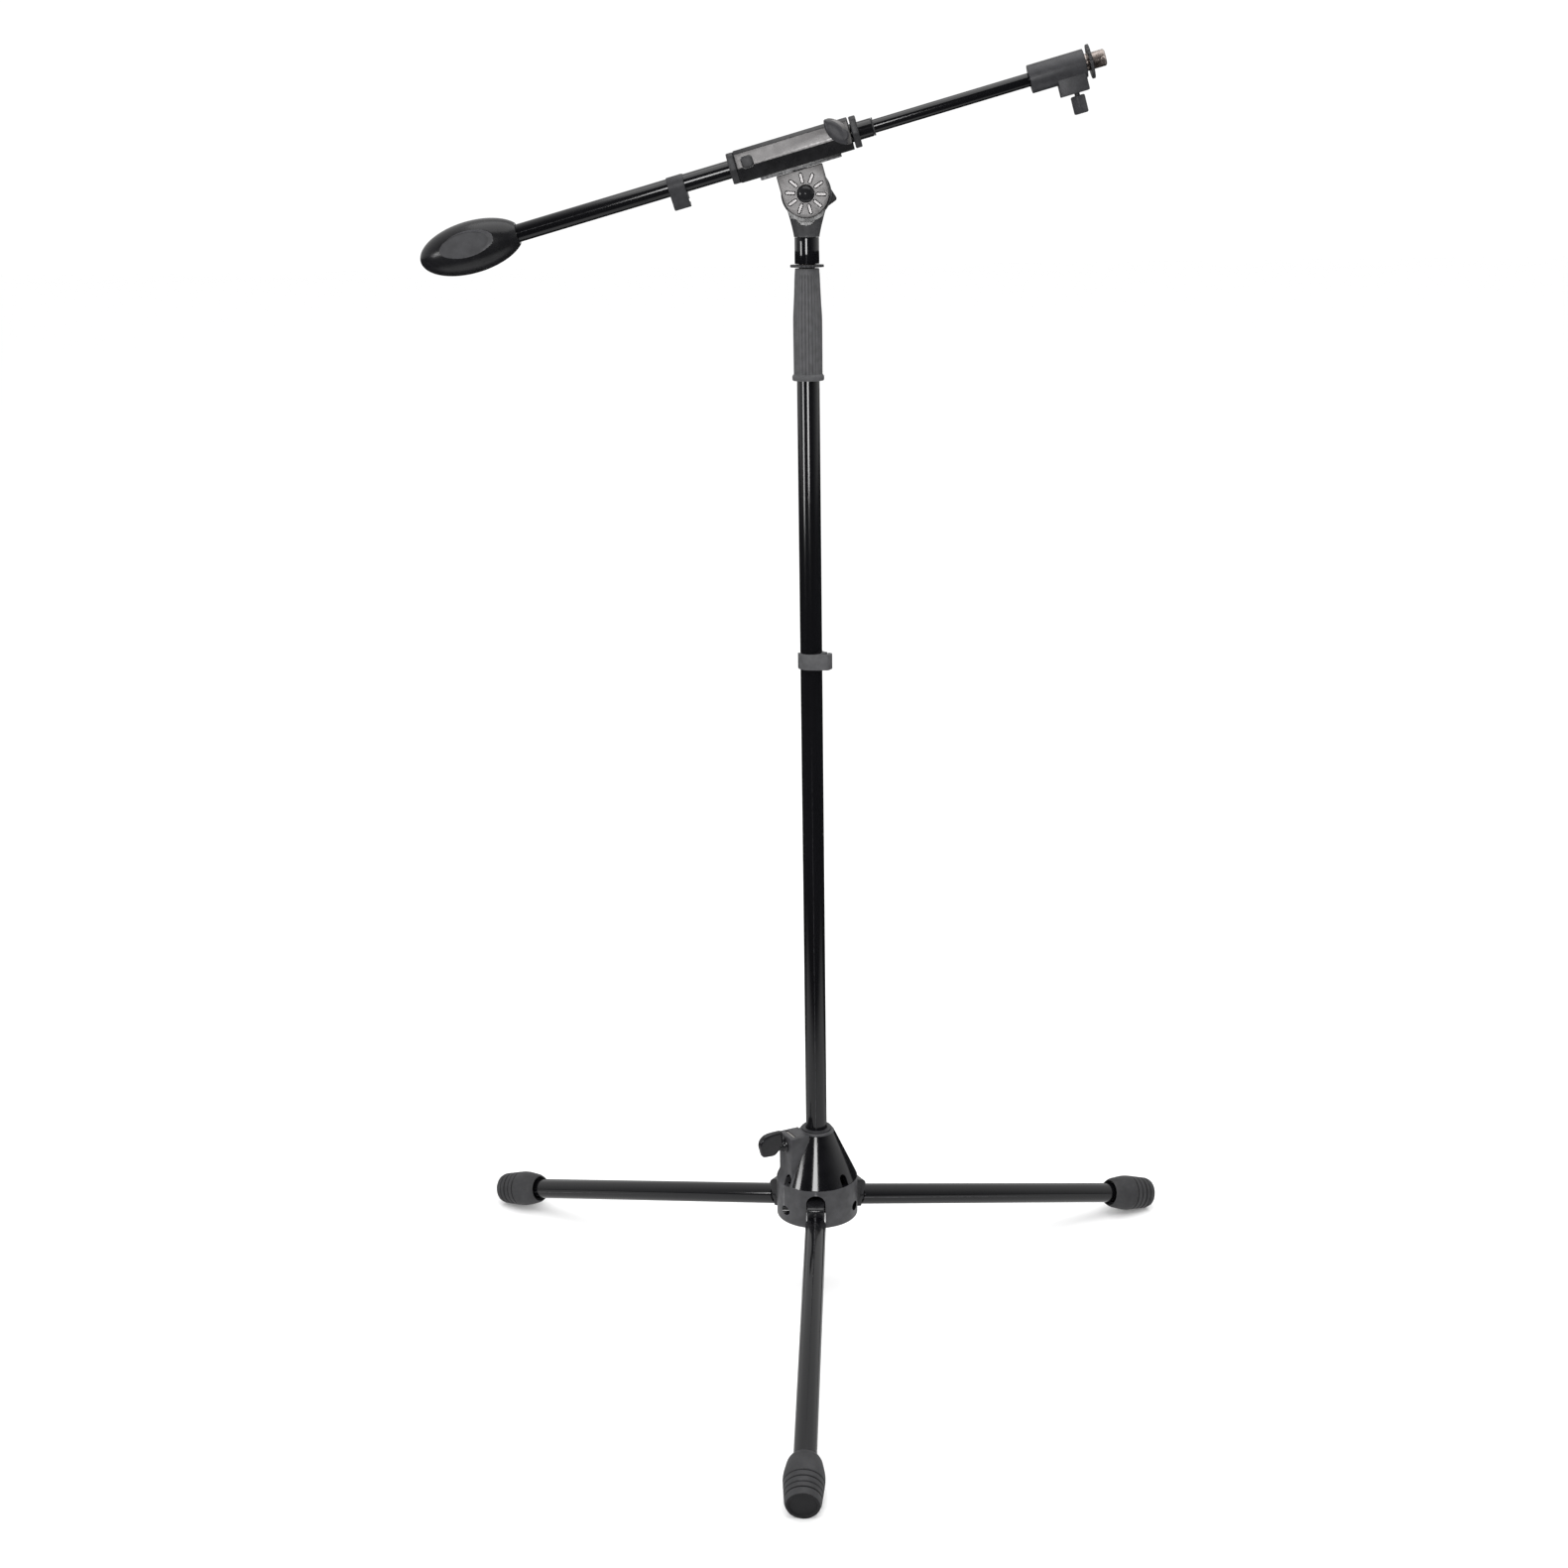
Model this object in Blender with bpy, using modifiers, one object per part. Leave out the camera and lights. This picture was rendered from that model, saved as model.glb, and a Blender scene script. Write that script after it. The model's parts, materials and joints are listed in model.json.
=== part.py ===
"""Boom microphone stand: folding tripod base, telescopic mast, tilting boom with a counterweight.

Metres, +Z up. The origin is on the floor, in the middle of the stand's footprint. The mast stands
on the hub between three legs, one of which points to -Y. The boom lies in a plane parallel to XZ and
rises towards +X.
"""

import math

import bmesh
import bpy
from mathutils import Vector

# Driving dimensions. Heights are above the floor unless a name says otherwise.
GAP = 0.0003                 # clearance kept between touching pieces
ROUND = 24                   # sides of large round pieces
FINE = 16                    # sides of small round pieces

# Base
LEG_AZIMUTHS = {"front": 0.0, "right": 120.0, "left": 240.0}    # degrees from -Y towards +X
LEG_SLOPE = 12.75            # degrees below the horizontal, legs spread
PIVOT_REACH = 0.0275         # leg pivot to mast axis
PIVOT_Z = 0.1075
TUBE_R = 0.0110              # mast and leg tubes, 22 mm
TUBE_WALL = 0.0012
LEG_TUBE_START = 0.0251      # distances along the leg, from its pivot
FOOT_MOUTH = 0.3630
FOOT_END = 0.4178
SKIRT_R = 0.0430
SKIRT_BOTTOM = 0.0940
SKIRT_TOP = 0.1360
HUB_WALL = 0.0040
COLLAR_R = 0.0187
HUB_TOP = 0.1900
SLEEVE_BORE = 0.0143
SLEEVE_R = 0.0158
LEDGE_Z = 0.1020             # ledge that the mast stands on
SLOT_HALF = 0.00975          # half the width of a leg slot
HEAD_HALF = 0.0090           # half the width of a leg's hinge head
CHEEK = 0.0030
SCREW_R = 0.0025
BOSS_AZIMUTH = -60.0         # clamp boss, between the front and the left leg
BOSS_REACH = 0.0377
BOSS_HALF = 0.01375
CLAMP_Z = 0.1785
CLAMP_BOLT_R = 0.0030

# Mast
MAST_TOP = 1.0000            # top of the outer tube, inside the grip
INNER_R = 0.0080
INNER_BOTTOM = 0.3300
INNER_TOP = 1.0795
GRIP_BOTTOM = 0.9745
GRIP_TOP = 1.0805
RING_Z = 1.0818
STUD_R = 0.0079              # 5/8 inch thread
MAST_CLIP_Z = 0.6890

# Knuckle and tilt joint
PIVOT_HEIGHT = 1.1502
BOOM_TILT = 15.3             # degrees
DISC_R = 0.0240
DISC_BACK = 0.0065           # y from the mast axis; the front is towards -Y
DISC_FRONT = -0.0055
PLATE_BACK = -0.0075
PLATE_FRONT = -0.0165
PLATE_R = 0.0225
SHAFT_R = 0.0119
SHAFT_BOTTOM = 1.0850
SHAFT_TOP = 1.1100

# Boom. Stations run along the boom from the tilt axis, positive to +X.
BOOM_Y = -0.0120
BOOM_RISE = 0.0410           # boom axis above the tilt axis
HOLDER_HALF = 0.0150
HOLDER_START = -0.0555
HOLDER_END = 0.0555
PAD_DEPTH = 0.0030           # foot of the holder, bolted to the swivel plate
PAD_BACK = 0.0060            # its rear face, in front of the knuckle's disc
BOOM_TUBE_R = 0.0085
BOOM_TUBE_WALL = 0.0010
BOOM_TUBE_START = -0.3300
BOOM_TUBE_END = 0.0765
BOOM_INNER_R = 0.0063
BOOM_INNER_START = -0.1150
WEIGHT_START = -0.3732
WEIGHT_END = -0.2747
WEIGHT_R = 0.0243
WEIGHT_MOUTH_R = 0.0105       # where its rounded front end stops, round the boom tube
BOOM_CLIP_START = -0.1236
CLIP_WIDTH = 0.0160
CABLE_R = 0.0034             # eye of a cable clip
WING_STATION = 0.0480
HEAD_START = 0.2283
HEAD_END = 0.2814
TIP_END = 0.3006
HEAD_SCREW_STATION = 0.2675

FINISHES = {
    "satin_casting": ((0.020, 0.020, 0.022), 0.42, 0.0),
    "tube_black": ((0.016, 0.016, 0.018), 0.24, 0.0),
    "moulded_black": ((0.030, 0.030, 0.031), 0.55, 0.0),
    "foot_rubber": ((0.026, 0.026, 0.027), 0.72, 0.0),
    "weight_black": ((0.024, 0.024, 0.025), 0.60, 0.0),
    "grip_grey": ((0.085, 0.085, 0.090), 0.62, 0.0),
    "plain_steel": ((0.44, 0.42, 0.40), 0.32, 1.0),
    "tip_nickel": ((0.52, 0.48, 0.43), 0.30, 1.0),
    "guide_plastic": ((0.60, 0.60, 0.58), 0.50, 0.0),
}


# ---------------------------------------------------------------- scene, materials, placing

def reset_scene():
    for obj in list(bpy.data.objects):
        bpy.data.objects.remove(obj, do_unlink=True)


def new_collection(name):
    collection = bpy.data.collections.new(name)
    bpy.context.scene.collection.children.link(collection)
    return collection


def make_material(name, colour, roughness, metallic):
    material = bpy.data.materials.new(name)
    material.use_nodes = True
    shader = material.node_tree.nodes["Principled BSDF"]
    shader.inputs["Base Color"].default_value = (*colour, 1.0)
    shader.inputs["Roughness"].default_value = roughness
    shader.inputs["Metallic"].default_value = metallic
    return material


def frame(name, parent, location=(0, 0, 0), turn=(0, 0, 0)):
    """An empty that carries pieces; turn is in degrees about X, Y and Z."""
    empty = bpy.data.objects.new(name, None)
    STAND.objects.link(empty)
    empty.parent = parent
    empty.location = location
    empty.rotation_euler = [math.radians(angle) for angle in turn]
    return empty


def add_object(name, mesh, parent, finish=None, location=(0, 0, 0), turn=(0, 0, 0)):
    """A part when it has a finish, otherwise a hidden cutter."""
    obj = bpy.data.objects.new(name, mesh)
    obj.parent = parent
    obj.location = location
    obj.rotation_euler = [math.radians(angle) for angle in turn]
    if finish is None:
        CUTTERS.objects.link(obj)
        obj.hide_render = True
        obj.display_type = "WIRE"
    else:
        STAND.objects.link(obj)
        colour, roughness, metallic = FINISHES[finish]
        mesh.materials.append(make_material(name, colour, roughness, metallic))
    return obj


def smooth(obj):
    obj.data.shade_smooth()
    obj.data.set_sharp_from_angle(angle=math.radians(35))


# ---------------------------------------------------------------- shapes

ALONG_Z = (0, 0, 0)
ALONG_X = (0, 90, 0)
ALONG_FRONT = (90, 0, 0)     # local +Z turned to -Y


def turned(name, outline, parent, finish=None, sides=ROUND, location=(0, 0, 0), turn=ALONG_Z):
    """A turned solid. The outline holds (radius, height) points: down the outer side first, and
    for a ring then up the inner side. It closes on itself unless it starts and ends on the axis."""
    mesh = bpy.data.meshes.new(name)
    ring = outline[0][0] > 0
    count = len(outline)
    edges = [(i, (i + 1) % count) for i in range(count if ring else count - 1)]
    mesh.from_pydata([(radius, 0, height) for radius, height in outline], edges, [])
    obj = add_object(name, mesh, parent, finish, location, turn)
    screw = obj.modifiers.new("turn", "SCREW")
    screw.axis = "Z"
    screw.angle = math.tau
    screw.steps = sides
    screw.render_steps = sides
    screw.use_merge_vertices = True
    screw.merge_threshold = 0.00001
    screw.use_smooth_shade = True
    return obj


def tube(name, outer, inner, low, high, parent, finish=None, sides=ROUND, **place):
    outline = [(outer, high), (outer, low), (inner, low), (inner, high)]
    return turned(name, outline, parent, finish, sides, **place)


def rod(name, radius, low, high, parent, finish=None, sides=FINE, **place):
    outline = [(0, high), (radius, high), (radius, low), (0, low)]
    return turned(name, outline, parent, finish, sides, **place)


def block(name, low, high, parent, finish=None, bevel=0.0, **place):
    """A box between two corners, in its parent's frame."""
    size = [high[i] - low[i] for i in range(3)]
    centre = [(high[i] + low[i]) / 2 for i in range(3)]
    shape = bmesh.new()
    bmesh.ops.create_cube(shape, size=1.0)
    bmesh.ops.scale(shape, vec=Vector(size), verts=shape.verts)
    bmesh.ops.translate(shape, vec=Vector(centre), verts=shape.verts)
    mesh = bpy.data.meshes.new(name)
    shape.to_mesh(mesh)
    shape.free()
    obj = add_object(name, mesh, parent, finish, **place)
    if bevel:
        soften(obj, bevel)
    return obj


def soften(obj, width, segments=2, angle=40):
    bevel = obj.modifiers.new("edges", "BEVEL")
    bevel.width = width
    bevel.segments = segments
    bevel.limit_method = "ANGLE"
    bevel.angle_limit = math.radians(angle)
    return obj


def slab(name, outline, thickness, parent, finish=None, **place):
    """A flat outline in the local XY plane, given counter-clockwise, thick to both sides of it."""
    curve = bpy.data.curves.new(name, "CURVE")
    curve.dimensions = "2D"
    curve.fill_mode = "BOTH"
    curve.extrude = thickness / 2
    spline = curve.splines.new("POLY")
    spline.points.add(len(outline) - 1)
    for point, (x, y) in zip(spline.points, outline):
        point.co = (x, y, 0, 1)
    spline.use_cyclic_u = True
    helper = bpy.data.objects.new(name + "_outline", curve)
    CUTTERS.objects.link(helper)
    evaluated = helper.evaluated_get(bpy.context.evaluated_depsgraph_get())
    mesh = bpy.data.meshes.new_from_object(evaluated)
    bpy.data.objects.remove(helper, do_unlink=True)
    shape = bmesh.new()
    shape.from_mesh(mesh)
    bmesh.ops.remove_doubles(shape, verts=shape.verts, dist=0.00001)
    bmesh.ops.dissolve_limit(shape, angle_limit=math.radians(1), verts=shape.verts, edges=shape.edges)
    bmesh.ops.recalc_face_normals(shape, faces=shape.faces)
    shape.to_mesh(mesh)
    shape.free()
    mesh.materials.clear()
    mesh.name = name
    return add_object(name, mesh, parent, finish, **place)


def arc(centre, radius, start, end, count):
    """Points on an arc; the angles are in degrees, counter-clockwise from +X."""
    step = (end - start) / (count - 1)
    angles = [math.radians(start + step * i) for i in range(count)]
    return [(centre[0] + radius * math.cos(a), centre[1] + radius * math.sin(a)) for a in angles]


def combine(target, other, operation):
    boolean = target.modifiers.new(other.name, "BOOLEAN")
    boolean.operation = operation
    boolean.solver = "EXACT"
    boolean.object = other


def cut(target, *cutters):
    for cutter in cutters:
        combine(target, cutter, "DIFFERENCE")


def join(target, *others):
    for other in others:
        combine(target, other, "UNION")


# ---------------------------------------------------------------- base

def foot_outline():
    """Foot profile as (radius, distance from the leg's pivot), from the mouth to the end."""
    length = FOOT_END - FOOT_MOUTH
    shape = [(0.0150, 0.00), (0.0176, 0.10), (0.0193, 0.24), (0.0200, 0.38), (0.0197, 0.55),
             (0.0189, 0.75), (0.0178, 0.92), (0.0160, 1.00)]
    return [(radius, FOOT_MOUTH + share * length) for radius, share in shape]


def leg_point(along, above=0.0):
    """Reach from the mast axis and height of a point given along and above a spread leg."""
    slope = math.radians(LEG_SLOPE)
    reach = PIVOT_REACH + along * math.cos(slope) + above * math.sin(slope)
    height = PIVOT_Z - along * math.sin(slope) + above * math.cos(slope)
    return reach, height


def footprint_reach(azimuth):
    """Furthest reach of a foot towards -Y, seen as a stack of discs square to the leg."""
    slope = math.radians(LEG_SLOPE)
    towards = math.cos(math.radians(azimuth))
    across = math.sqrt(1 - (towards * math.cos(slope)) ** 2)
    return max(abs(leg_point(along)[0] * towards) + radius * across for radius, along in foot_outline())


def leg_frames(mast):
    """Two frames for each leg: one flat at the mast axis, one on the hinge and along the leg."""
    frames = {}
    for side, azimuth in LEG_AZIMUTHS.items():
        flat = frame(f"{side}_bay", mast, turn=(0, 0, azimuth - 90))
        hinge = frame(f"{side}_hinge", flat, (PIVOT_REACH, 0, PIVOT_Z), (0, LEG_SLOPE, 0))
        frames[side] = (flat, hinge)
    return frames


def hub_shell(mast):
    slope = (SKIRT_R - COLLAR_R) / (HUB_TOP - 0.002 - SKIRT_TOP)
    inner_skirt = SKIRT_R - HUB_WALL
    roof = SKIRT_TOP - HUB_WALL
    throat = 0.1765
    outline = [
        (COLLAR_R - 0.0015, HUB_TOP), (COLLAR_R, HUB_TOP - 0.002), (SKIRT_R, SKIRT_TOP),
        (SKIRT_R, SKIRT_BOTTOM), (inner_skirt, SKIRT_BOTTOM), (inner_skirt, roof),
        (inner_skirt - slope * (throat - roof), throat), (SLEEVE_R, throat), (SLEEVE_R, LEDGE_Z - 0.003),
        (0.0075, LEDGE_Z - 0.003), (0.0075, LEDGE_Z), (SLEEVE_BORE, LEDGE_Z), (SLEEVE_BORE, HUB_TOP),
    ]
    return turned("hub_casting", outline, mast, "satin_casting", sides=36)


def add_leg_bay(hub, side, flat):
    """Cheeks, screw bosses, slot and screw bore for one leg."""
    inner = SLOT_HALF
    outer = SLOT_HALF + CHEEK
    for name, low, high in (("near", -outer, -inner), ("far", inner, outer)):
        cheek = block(f"{side}_cheek_{name}", (0.0110, low, 0.0955), (0.0405, high, 0.1345), flat)
        join(hub, cheek)
    at_pivot = (PIVOT_REACH, 0, PIVOT_Z)
    join(hub, rod(f"{side}_boss_head", 0.0060, 0.0100, 0.0295, flat, location=at_pivot, turn=ALONG_FRONT))
    join(hub, rod(f"{side}_boss_tip", 0.0050, -0.0200, -0.0100, flat, location=at_pivot, turn=ALONG_FRONT))
    half = SLOT_HALF + 0.0004
    opening = [(-half, 0.0800), (half, 0.0800)] + arc((0, 0.1210), half, 0, 180, 9)
    slot = slab(f"{side}_slot", opening, 0.0240, flat, location=(0.0482, 0, 0), turn=(90, 0, 90))
    bore_r = SCREW_R + GAP
    bore = turned(f"{side}_bore", [
        (0, 0.0500), (0.0049, 0.0500), (0.0049, 0.0221), (bore_r, 0.0221), (bore_r, -0.0185), (0, -0.0185),
    ], flat, sides=16, location=at_pivot, turn=ALONG_FRONT)
    cut(hub, slot, bore)


def add_windows(hub, mast):
    """Three windows through the foot of the cone."""
    for azimuth in (-47.0, 47.0, 180.0):
        flat = frame(f"window_{azimuth:.0f}", mast, turn=(0, 0, azimuth - 90))
        window = block(f"window_cut_{azimuth:.0f}", (0.0300, -0.0045, 0.1362), (0.0500, 0.0045, 0.1480), flat)
        cut(hub, window)


def add_clamp_boss(hub, radial):
    """Boss with a slit for the clamp nut and a bolt hole towards the mast."""
    low = (0.0150, -BOSS_HALF, 0.1365)
    high = (BOSS_REACH, BOSS_HALF, HUB_TOP - 0.0004)
    join(hub, block("clamp_boss", low, high, radial))
    slit = block("clamp_slit", (0.0294, -0.0095, CLAMP_Z - 0.0107), (0.0322, 0.0095, 0.2000), radial)
    hole_r = CLAMP_BOLT_R + GAP
    hole = rod("clamp_hole", hole_r, 0.0120, 0.0500, radial, location=(0, 0, CLAMP_Z), turn=ALONG_X)
    cut(hub, slit, hole)


def make_hub(mast, legs):
    hub = hub_shell(mast)
    for side, (flat, hinge) in legs.items():
        add_leg_bay(hub, side, flat)
    radial = frame("clamp_bay", mast, turn=(0, 0, BOSS_AZIMUTH - 90))
    add_clamp_boss(hub, radial)
    add_windows(hub, mast)
    make_hub_clamp(mast, radial)


def make_hub_clamp(mast, radial):
    bush = turned("hub_bush", [
        (0.0160, HUB_TOP + 0.0018), (0.0160, HUB_TOP + GAP), (0.0140, HUB_TOP + GAP),
        (0.0140, LEDGE_Z + GAP), (TUBE_R + GAP, LEDGE_Z + GAP), (TUBE_R + GAP, HUB_TOP + 0.0018),
    ], mast, "moulded_black")
    at_clamp = (0, 0, CLAMP_Z)
    cut(bush, rod("shoe_hole", 0.0034, 0.0080, 0.0200, radial, location=at_clamp, turn=ALONG_X))
    nut = block("hub_clamp_nut", (0.0297, -0.0092, CLAMP_Z - 0.0104), (0.0319, 0.0092, CLAMP_Z + 0.0104),
                radial, "plain_steel")
    bolt_r = CLAMP_BOLT_R + GAP
    cut(nut, rod("nut_hole", bolt_r, 0.0200, 0.0500, radial, location=at_clamp, turn=ALONG_X))
    rod("hub_clamp_shoe", CLAMP_BOLT_R, 0.0114, 0.0152, radial, "guide_plastic",
        location=at_clamp, turn=ALONG_X)
    make_hub_knob(radial)


def make_hub_knob(radial):
    """Clamp bolt with its flared hub and one broad thumb wing, set high on the bolt."""
    axis = frame("hub_knob_axis", radial, (0, 0, CLAMP_Z))
    knob = turned("hub_wing_knob", [
        (0, 0.0450), (0.0048, 0.0450), (0.0056, 0.0420), (0.0080, BOSS_REACH + GAP),
        (CLAMP_BOLT_R, BOSS_REACH + GAP), (CLAMP_BOLT_R, 0.0155), (0, 0.0155),
    ], axis, "tube_black", FINE, turn=ALONG_X)
    outline = [(0.0412, -0.0034), (0.0460, -0.0036), (0.0485, -0.0066), (0.0508, -0.0088),
               (0.0650, -0.0076), (0.0676, 0.0004), (0.0686, 0.0046), (0.0682, 0.0090),
               (0.0659, 0.0130), (0.0619, 0.0159), (0.0552, 0.0171), (0.0424, 0.0172), (0.0412, 0.0160)]
    wing = slab("hub_wing", outline, 0.0070, axis, turn=ALONG_FRONT)
    soften(wing, 0.0008)
    join(knob, wing)


def head_profile():
    """Side view of a leg's hinge head, (along, above) from the pivot in the leg's frame."""
    slope = math.radians(LEG_SLOPE)
    stop = SLEEVE_R + GAP - PIVOT_REACH

    def from_level(reach, rise):
        along = reach * math.cos(slope) - rise * math.sin(slope)
        above = reach * math.sin(slope) + rise * math.cos(slope)
        return along, above

    nose = [from_level(x, z) for x, z in arc((0, 0), 0.0110, 188, 250, 5)]
    heel = [from_level(stop, 0.0055), from_level(stop, 0.0010)]
    return heel + nose + [(0.0000, -0.0108), (0.0246, -0.0108), (0.0246, 0.0150)] + arc(
        (0.0196, 0.0143), 0.0050, 20, 90, 4) + [(0.0030, 0.0193), (-0.0060, 0.0125)]


def make_leg(side, flat, hinge):
    """Local X runs along the leg, local Y along the hinge, local Z above the leg."""
    head = slab(f"leg_head_{side}", head_profile(), 2 * HEAD_HALF, hinge, "moulded_black", turn=ALONG_FRONT)
    spigot = rod(f"{side}_spigot", TUBE_R - TUBE_WALL - GAP, 0.0200, 0.0600, hinge, sides=FINE, turn=ALONG_X)
    join(head, spigot)
    cut(head, rod(f"{side}_eye", SCREW_R + GAP, -0.0200, 0.0200, hinge, turn=ALONG_FRONT))
    tube(f"leg_tube_{side}", TUBE_R, TUBE_R - TUBE_WALL, LEG_TUBE_START, FOOT_MOUTH + 0.0300, hinge,
         "tube_black", FINE + 4, turn=ALONG_X)
    turned(f"leg_screw_{side}", [
        (0, 0.0252), (0.0044, 0.0252), (0.0044, 0.0224), (SCREW_R, 0.0224), (SCREW_R, -0.0180), (0, -0.0180),
    ], flat, "plain_steel", 12, location=(PIVOT_REACH, 0, PIVOT_Z), turn=ALONG_FRONT)
    make_foot(side, hinge)


def make_foot(side, hinge):
    outer = [(radius, along) for radius, along in reversed(foot_outline())]
    bore = TUBE_R + GAP
    inner = [(0.0135, FOOT_MOUTH), (0.0130, FOOT_MOUTH + 0.0080), (bore, FOOT_MOUTH + 0.0085),
             (bore, FOOT_MOUTH + 0.0305), (0, FOOT_MOUTH + 0.0305)]
    outline = [(0, FOOT_END)] + outer + inner
    foot = turned(f"foot_{side}", outline, hinge, "foot_rubber", 20, turn=ALONG_X)
    below = block(f"{side}_floor_cut", (0.3500, -0.0500, -0.0500), (0.5000, 0.0500, 0.0), hinge.parent)
    cut(foot, below)


# ---------------------------------------------------------------- mast

def make_mast(mast):
    inner = TUBE_R - TUBE_WALL
    foot = LEDGE_Z + GAP
    turned("mast_base_plug", [
        (0, 0.1200), (inner - GAP, 0.1200), (inner - GAP, foot + 0.0024), (TUBE_R, foot + 0.0024),
        (TUBE_R, foot), (0, foot),
    ], mast, "moulded_black", FINE)
    tube("mast_outer_tube", TUBE_R, inner, foot + 0.0027, MAST_TOP, mast, "tube_black")
    bore = INNER_R + GAP
    turned("clutch_insert", [
        (TUBE_R, 1.0300), (TUBE_R, MAST_TOP + GAP), (inner - GAP, MAST_TOP + GAP), (inner - GAP, 0.9600),
        (bore, 0.9600), (bore, 1.0300),
    ], mast, "guide_plastic", FINE)
    collet = turned("clutch_collet", [
        (0.0092, 1.0560), (0.0105, 1.0500), (0.0105, 1.0303), (bore, 1.0303), (bore, 1.0560),
    ], mast, "guide_plastic", FINE)
    cut(collet, block("collet_slit", (-0.0008, 0, 1.0200), (0.0008, 0.0200, 1.0600), mast))
    turned("clutch_grip", [
        (0.0112, GRIP_TOP), (SHAFT_R, GRIP_TOP - 0.0010), (0.0127, 1.0600), (0.0140, 1.0350),
        (0.0140, GRIP_BOTTOM + 0.0060), (0.0154, GRIP_BOTTOM + 0.0045), (0.0154, GRIP_BOTTOM + 0.0010),
        (0.0146, GRIP_BOTTOM), (TUBE_R + GAP, GRIP_BOTTOM), (TUBE_R + GAP, 1.0400), (0.0108, 1.0500),
        (0.0096, 1.0570), (bore + GAP, 1.0580), (bore + GAP, GRIP_TOP),
    ], mast, "grip_grey")
    tube("mast_inner_tube", INNER_R, INNER_R - TUBE_WALL, INNER_BOTTOM, INNER_TOP, mast, "tube_black", FINE)
    glide = INNER_R - TUBE_WALL - GAP
    turned("mast_inner_glide", [
        (0, 0.3500), (glide, 0.3500), (glide, INNER_BOTTOM - GAP), (inner - GAP, INNER_BOTTOM - GAP),
        (inner - GAP, 0.3200), (0, 0.3200),
    ], mast, "guide_plastic", FINE)
    turned("mast_stud", [
        (0, 1.1050), (0.0068, 1.1050), (STUD_R, 1.1035), (STUD_R, INNER_TOP + GAP), (glide, INNER_TOP + GAP),
        (glide, 1.0500), (0, 1.0500),
    ], mast, "plain_steel", FINE)
    tube("mast_lock_ring", 0.01625, STUD_R + GAP, RING_Z, RING_Z + 0.0024, mast, "moulded_black")
    clip = frame("mast_clip_frame", mast, (0, 0, MAST_CLIP_Z + CLIP_WIDTH / 2), (0, 0, -25))
    make_clip("mast_cable_clip", clip, TUBE_R, 0.0036, "grip_grey", FINE)


def make_clip(name, parent, grip_r, loop_reach, finish, sides):
    """Snap ring about local Z with a cable loop beside it on local +X, both open to one side."""
    wall = 0.0022
    bore = grip_r + GAP
    half = CLIP_WIDTH / 2
    tall = 0.0200
    clip = tube(name, bore + wall, bore, -half, half, parent, finish, sides)
    loop_at = bore + wall + 0.0046
    loop = block(name + "_loop", (bore + 0.0006, -0.0055, -half), (loop_at + loop_reach, 0.0055, half),
                 parent)
    soften(loop, 0.0020)
    join(clip, loop)
    eye_at = (loop_at - 0.0004, 0, 0)
    cut(clip, rod(name + "_eye", CABLE_R, -tall, tall, parent, sides=12, location=eye_at),
        block(name + "_mouth", (loop_at - 0.0015, 0, -tall), (loop_at + 0.0015, 0.0100, tall), parent),
        block(name + "_gap", (-0.0300, -0.0060, -tall), (-0.0040, 0.0060, tall), parent),
        rod(name + "_bore", bore, -tall, tall, parent, sides=sides))


# ---------------------------------------------------------------- knuckle and tilt joint

def make_knuckle(mast):
    turned("knuckle_sleeve", [
        (0, 1.1200), (0.0085, 1.1200), (0.0085, SHAFT_TOP - GAP), (SHAFT_R, SHAFT_TOP - GAP),
        (SHAFT_R, SHAFT_BOTTOM), (STUD_R + GAP, SHAFT_BOTTOM), (STUD_R + GAP, 1.1060), (0, 1.1060),
    ], mast, "tube_black")
    pivot = frame("knuckle_pivot", mast, (0, 0, PIVOT_HEIGHT))
    disc = rod("knuckle_casting", DISC_R, -DISC_BACK, -DISC_FRONT, pivot, "satin_casting", 36,
               turn=ALONG_FRONT)
    neck = turned("knuckle_neck", [
        (0, 1.1360), (0.0185, 1.1360), (0.0124, SHAFT_TOP), (0, SHAFT_TOP),
    ], mast, sides=24)
    cut(neck, block("neck_front", (-0.0300, -0.0300, 1.1262), (0.0300, DISC_FRONT, 1.1500), mast),
        block("neck_back", (-0.0300, 0.0134, 1.1120), (0.0300, 0.0300, 1.1500), mast))
    join(disc, neck)
    cut(disc, rod("neck_bore", 0.0088, 1.1000, 1.1203, mast),
        rod("bolt_bore", 0.0043, -0.0300, 0.0300, pivot, turn=ALONG_FRONT))
    tube("friction_washer", 0.0200, 0.0045, -DISC_FRONT + GAP, -PLATE_BACK - GAP, pivot, "foot_rubber",
         turn=ALONG_FRONT)
    make_tilt_lever(pivot)


def make_tilt_lever(pivot):
    """Clamp lever on the back: a hub on the bolt and one broad, pointed arm."""
    lever = turned("tilt_lever", [
        (0, -0.0070), (0.0110, -0.0070), (0.0110, -0.0150), (0.0090, -0.0180), (0.0090, -0.0220),
        (0, -0.0220),
    ], pivot, "moulded_black", FINE, turn=ALONG_FRONT)
    arm_frame = frame("tilt_arm", pivot, (0, 0, 0), (0, 11, 0))
    outline = [(0.0, -0.0100), (0.0205, -0.0098), (0.0285, -0.0022), (0.0294, 0.0),
               (0.0285, 0.0022), (0.0205, 0.0098), (0.0, 0.0100)]
    arm = slab("tilt_arm_slab", outline, 0.0080, arm_frame, location=(0, 0.0180, 0), turn=ALONG_FRONT)
    soften(arm, 0.0015)
    join(lever, arm)
    cut(lever, rod("lever_bore", 0.0043, -0.0193, 0.0, pivot, turn=ALONG_FRONT))


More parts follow.
